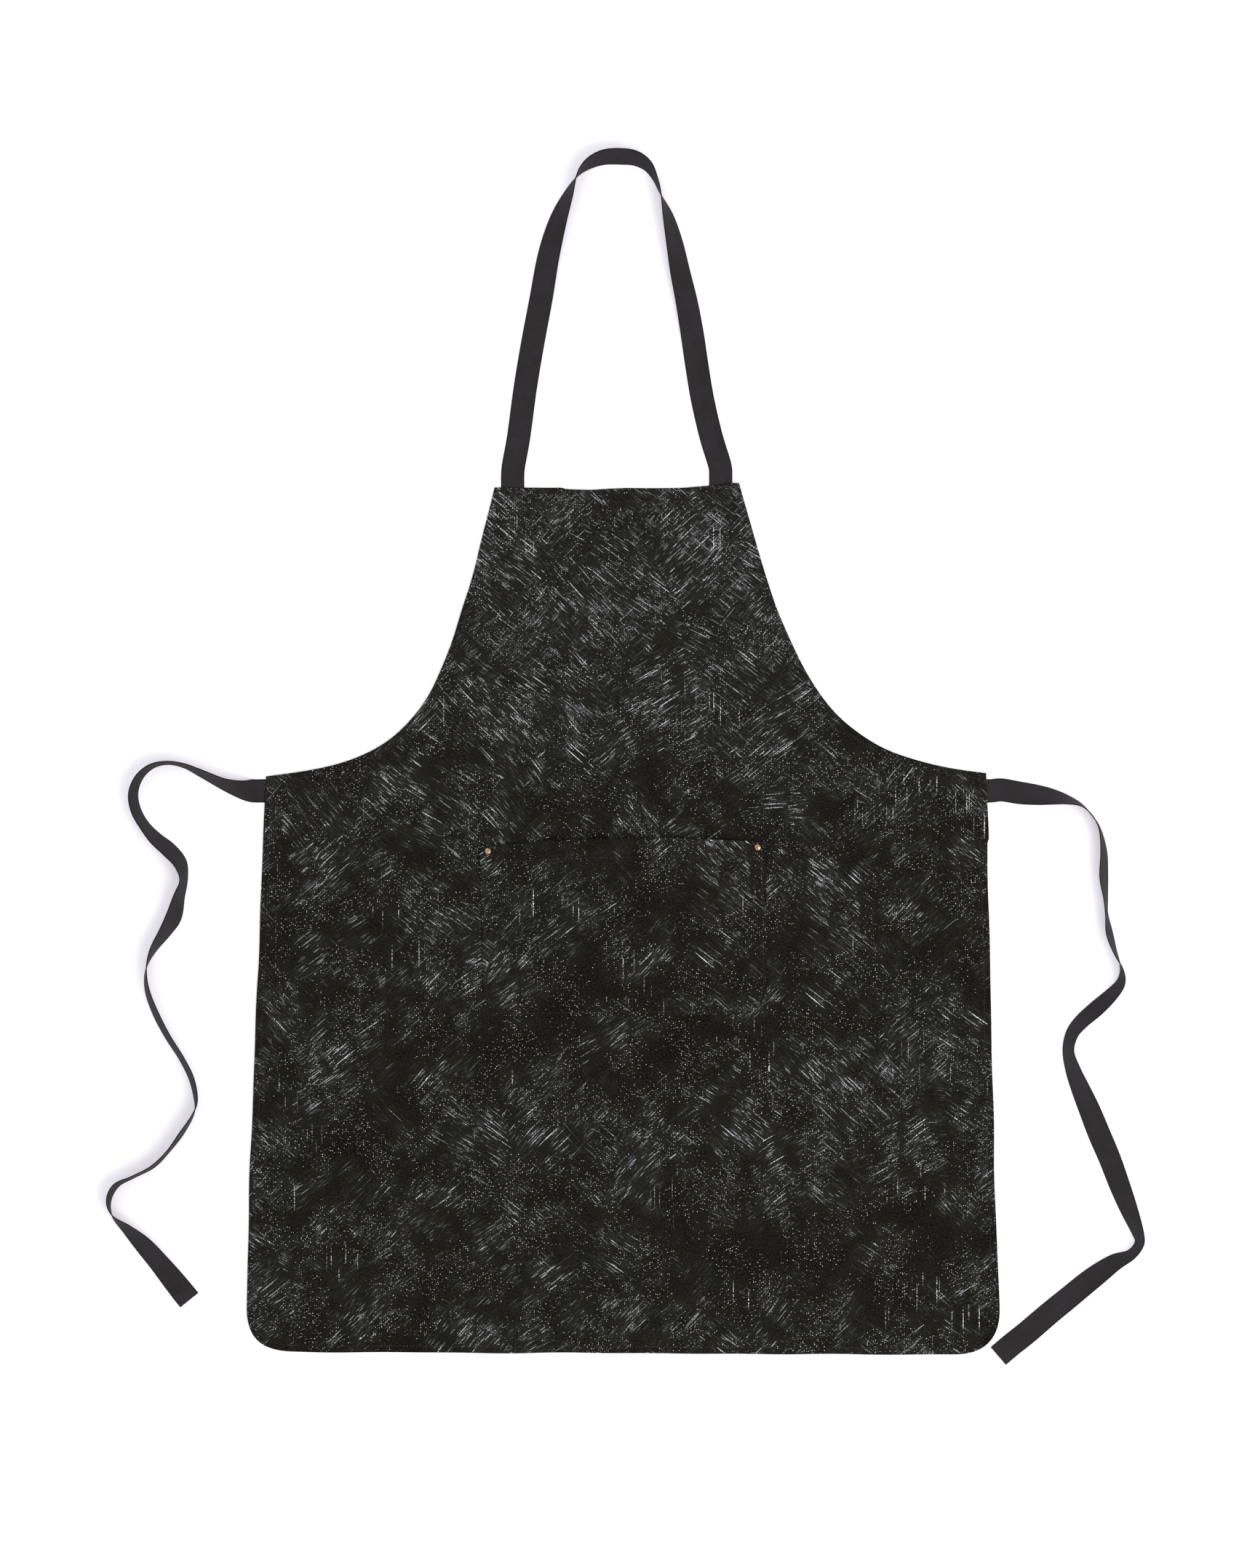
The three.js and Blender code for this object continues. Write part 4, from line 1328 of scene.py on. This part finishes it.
def rivetShape(capLow, capHigh, discLow):
    # A turned outline from the top of the dome to the middle of the disc
    radius = (capHigh.x - capLow.x) / 2
    discRadius = (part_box("left_rivet_back")[1].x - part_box("left_rivet_back")[0].x) / 2
    post, rim = rivetSettings["post"], rivetSettings["rim"]
    dome = [
        (radius * math.sin(a), capLow.z + rim + (capHigh.z - capLow.z - rim) * math.cos(a))
        for a in np.linspace(0, math.pi / 2, rivetSettings["dome"])
    ]
    profile = dome + [
        (radius, capLow.z + 0.1 * mm), (radius - 0.25 * mm, capLow.z), (post, capLow.z),
        (post, discLow + 1.05 * mm), (discRadius - 0.3 * mm, discLow + 1.0 * mm),
        (discRadius, discLow + 0.7 * mm), (discRadius, discLow + 0.25 * mm),
        (discRadius - 0.4 * mm, discLow), (post, discLow + 0.15 * mm), (0, discLow + 0.1 * mm),
    ]
    return profile


def rivetTree():
    tree = bpy.data.node_groups.new("rivetsOnCorners", "GeometryNodeTree")
    addSocket(tree, "Places", "NodeSocketGeometry")
    addSocket(tree, "Outline", "NodeSocketObject")
    addSocket(tree, "Metal", "NodeSocketMaterial")
    addSocket(tree, "Rivets", "NodeSocketGeometry", "OUTPUT")
    given = addNode(tree, "NodeGroupInput")
    outline = addNode(tree, "GeometryNodeObjectInfo", {"Object": given.outputs["Outline"]})
    turned = addNode(tree, "GeometryNodeInstanceOnPoints", {
        "Points": given.outputs["Places"], "Instance": outline.outputs["Geometry"],
    })
    real = addNode(tree, "GeometryNodeRealizeInstances", {"Geometry": turned})
    finished = addNode(tree, "GeometryNodeSetMaterial", {
        "Geometry": real, "Material": given.outputs["Metal"],
    })
    addNode(tree, "NodeGroupOutput", {"Rivets": finished})
    return tree


def latheMesh(name, profile, sides):
    points = [(0, 0, profile[0][1])]
    for r, z in profile[1:-1]:
        points += [(r * math.cos(2 * math.pi * k / sides), r * math.sin(2 * math.pi * k / sides), z)
                   for k in range(sides)]
    points.append((0, 0, profile[-1][1]))
    rows = len(profile) - 2
    faces = []
    for k in range(sides):
        j = (k + 1) % sides
        faces.append((0, 1 + k, 1 + j))
        for row in range(rows - 1):
            base = 1 + row * sides
            faces.append((base + k, base + sides + k, base + sides + j, base + j))
        base = 1 + (rows - 1) * sides
        faces.append((base + k, len(points) - 1, base + j))
    return newPiece(name, points, faces, [])


def makeRivets():
    capLow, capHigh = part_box("left_rivet_cap")
    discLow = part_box("left_rivet_back")[0].z
    shape = latheMesh("rivetShape", rivetShape(capLow, capHigh, discLow), rivetSettings["sides"])
    outwards(shape)
    spots = []
    for side in ("left", "right"):
        low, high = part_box(f"{side}_rivet_cap")
        spots.append(((low.x + high.x) / 2, (low.y + high.y) / 2, 0))
    places = seamPiece("rivets", [])
    places.data.from_pydata(spots, [], [])
    rivets = runTree(places, rivetTree(), {"Outline": shape, "Metal": antiqueCopper()})
    bpy.data.objects.remove(shape)
    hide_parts("left_rivet_cap", "right_rivet_cap", "left_rivet_back", "right_rivet_back")
    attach(rivets, "apron")
    return rivets


rivets = makeRivets()
print("rivets are set")
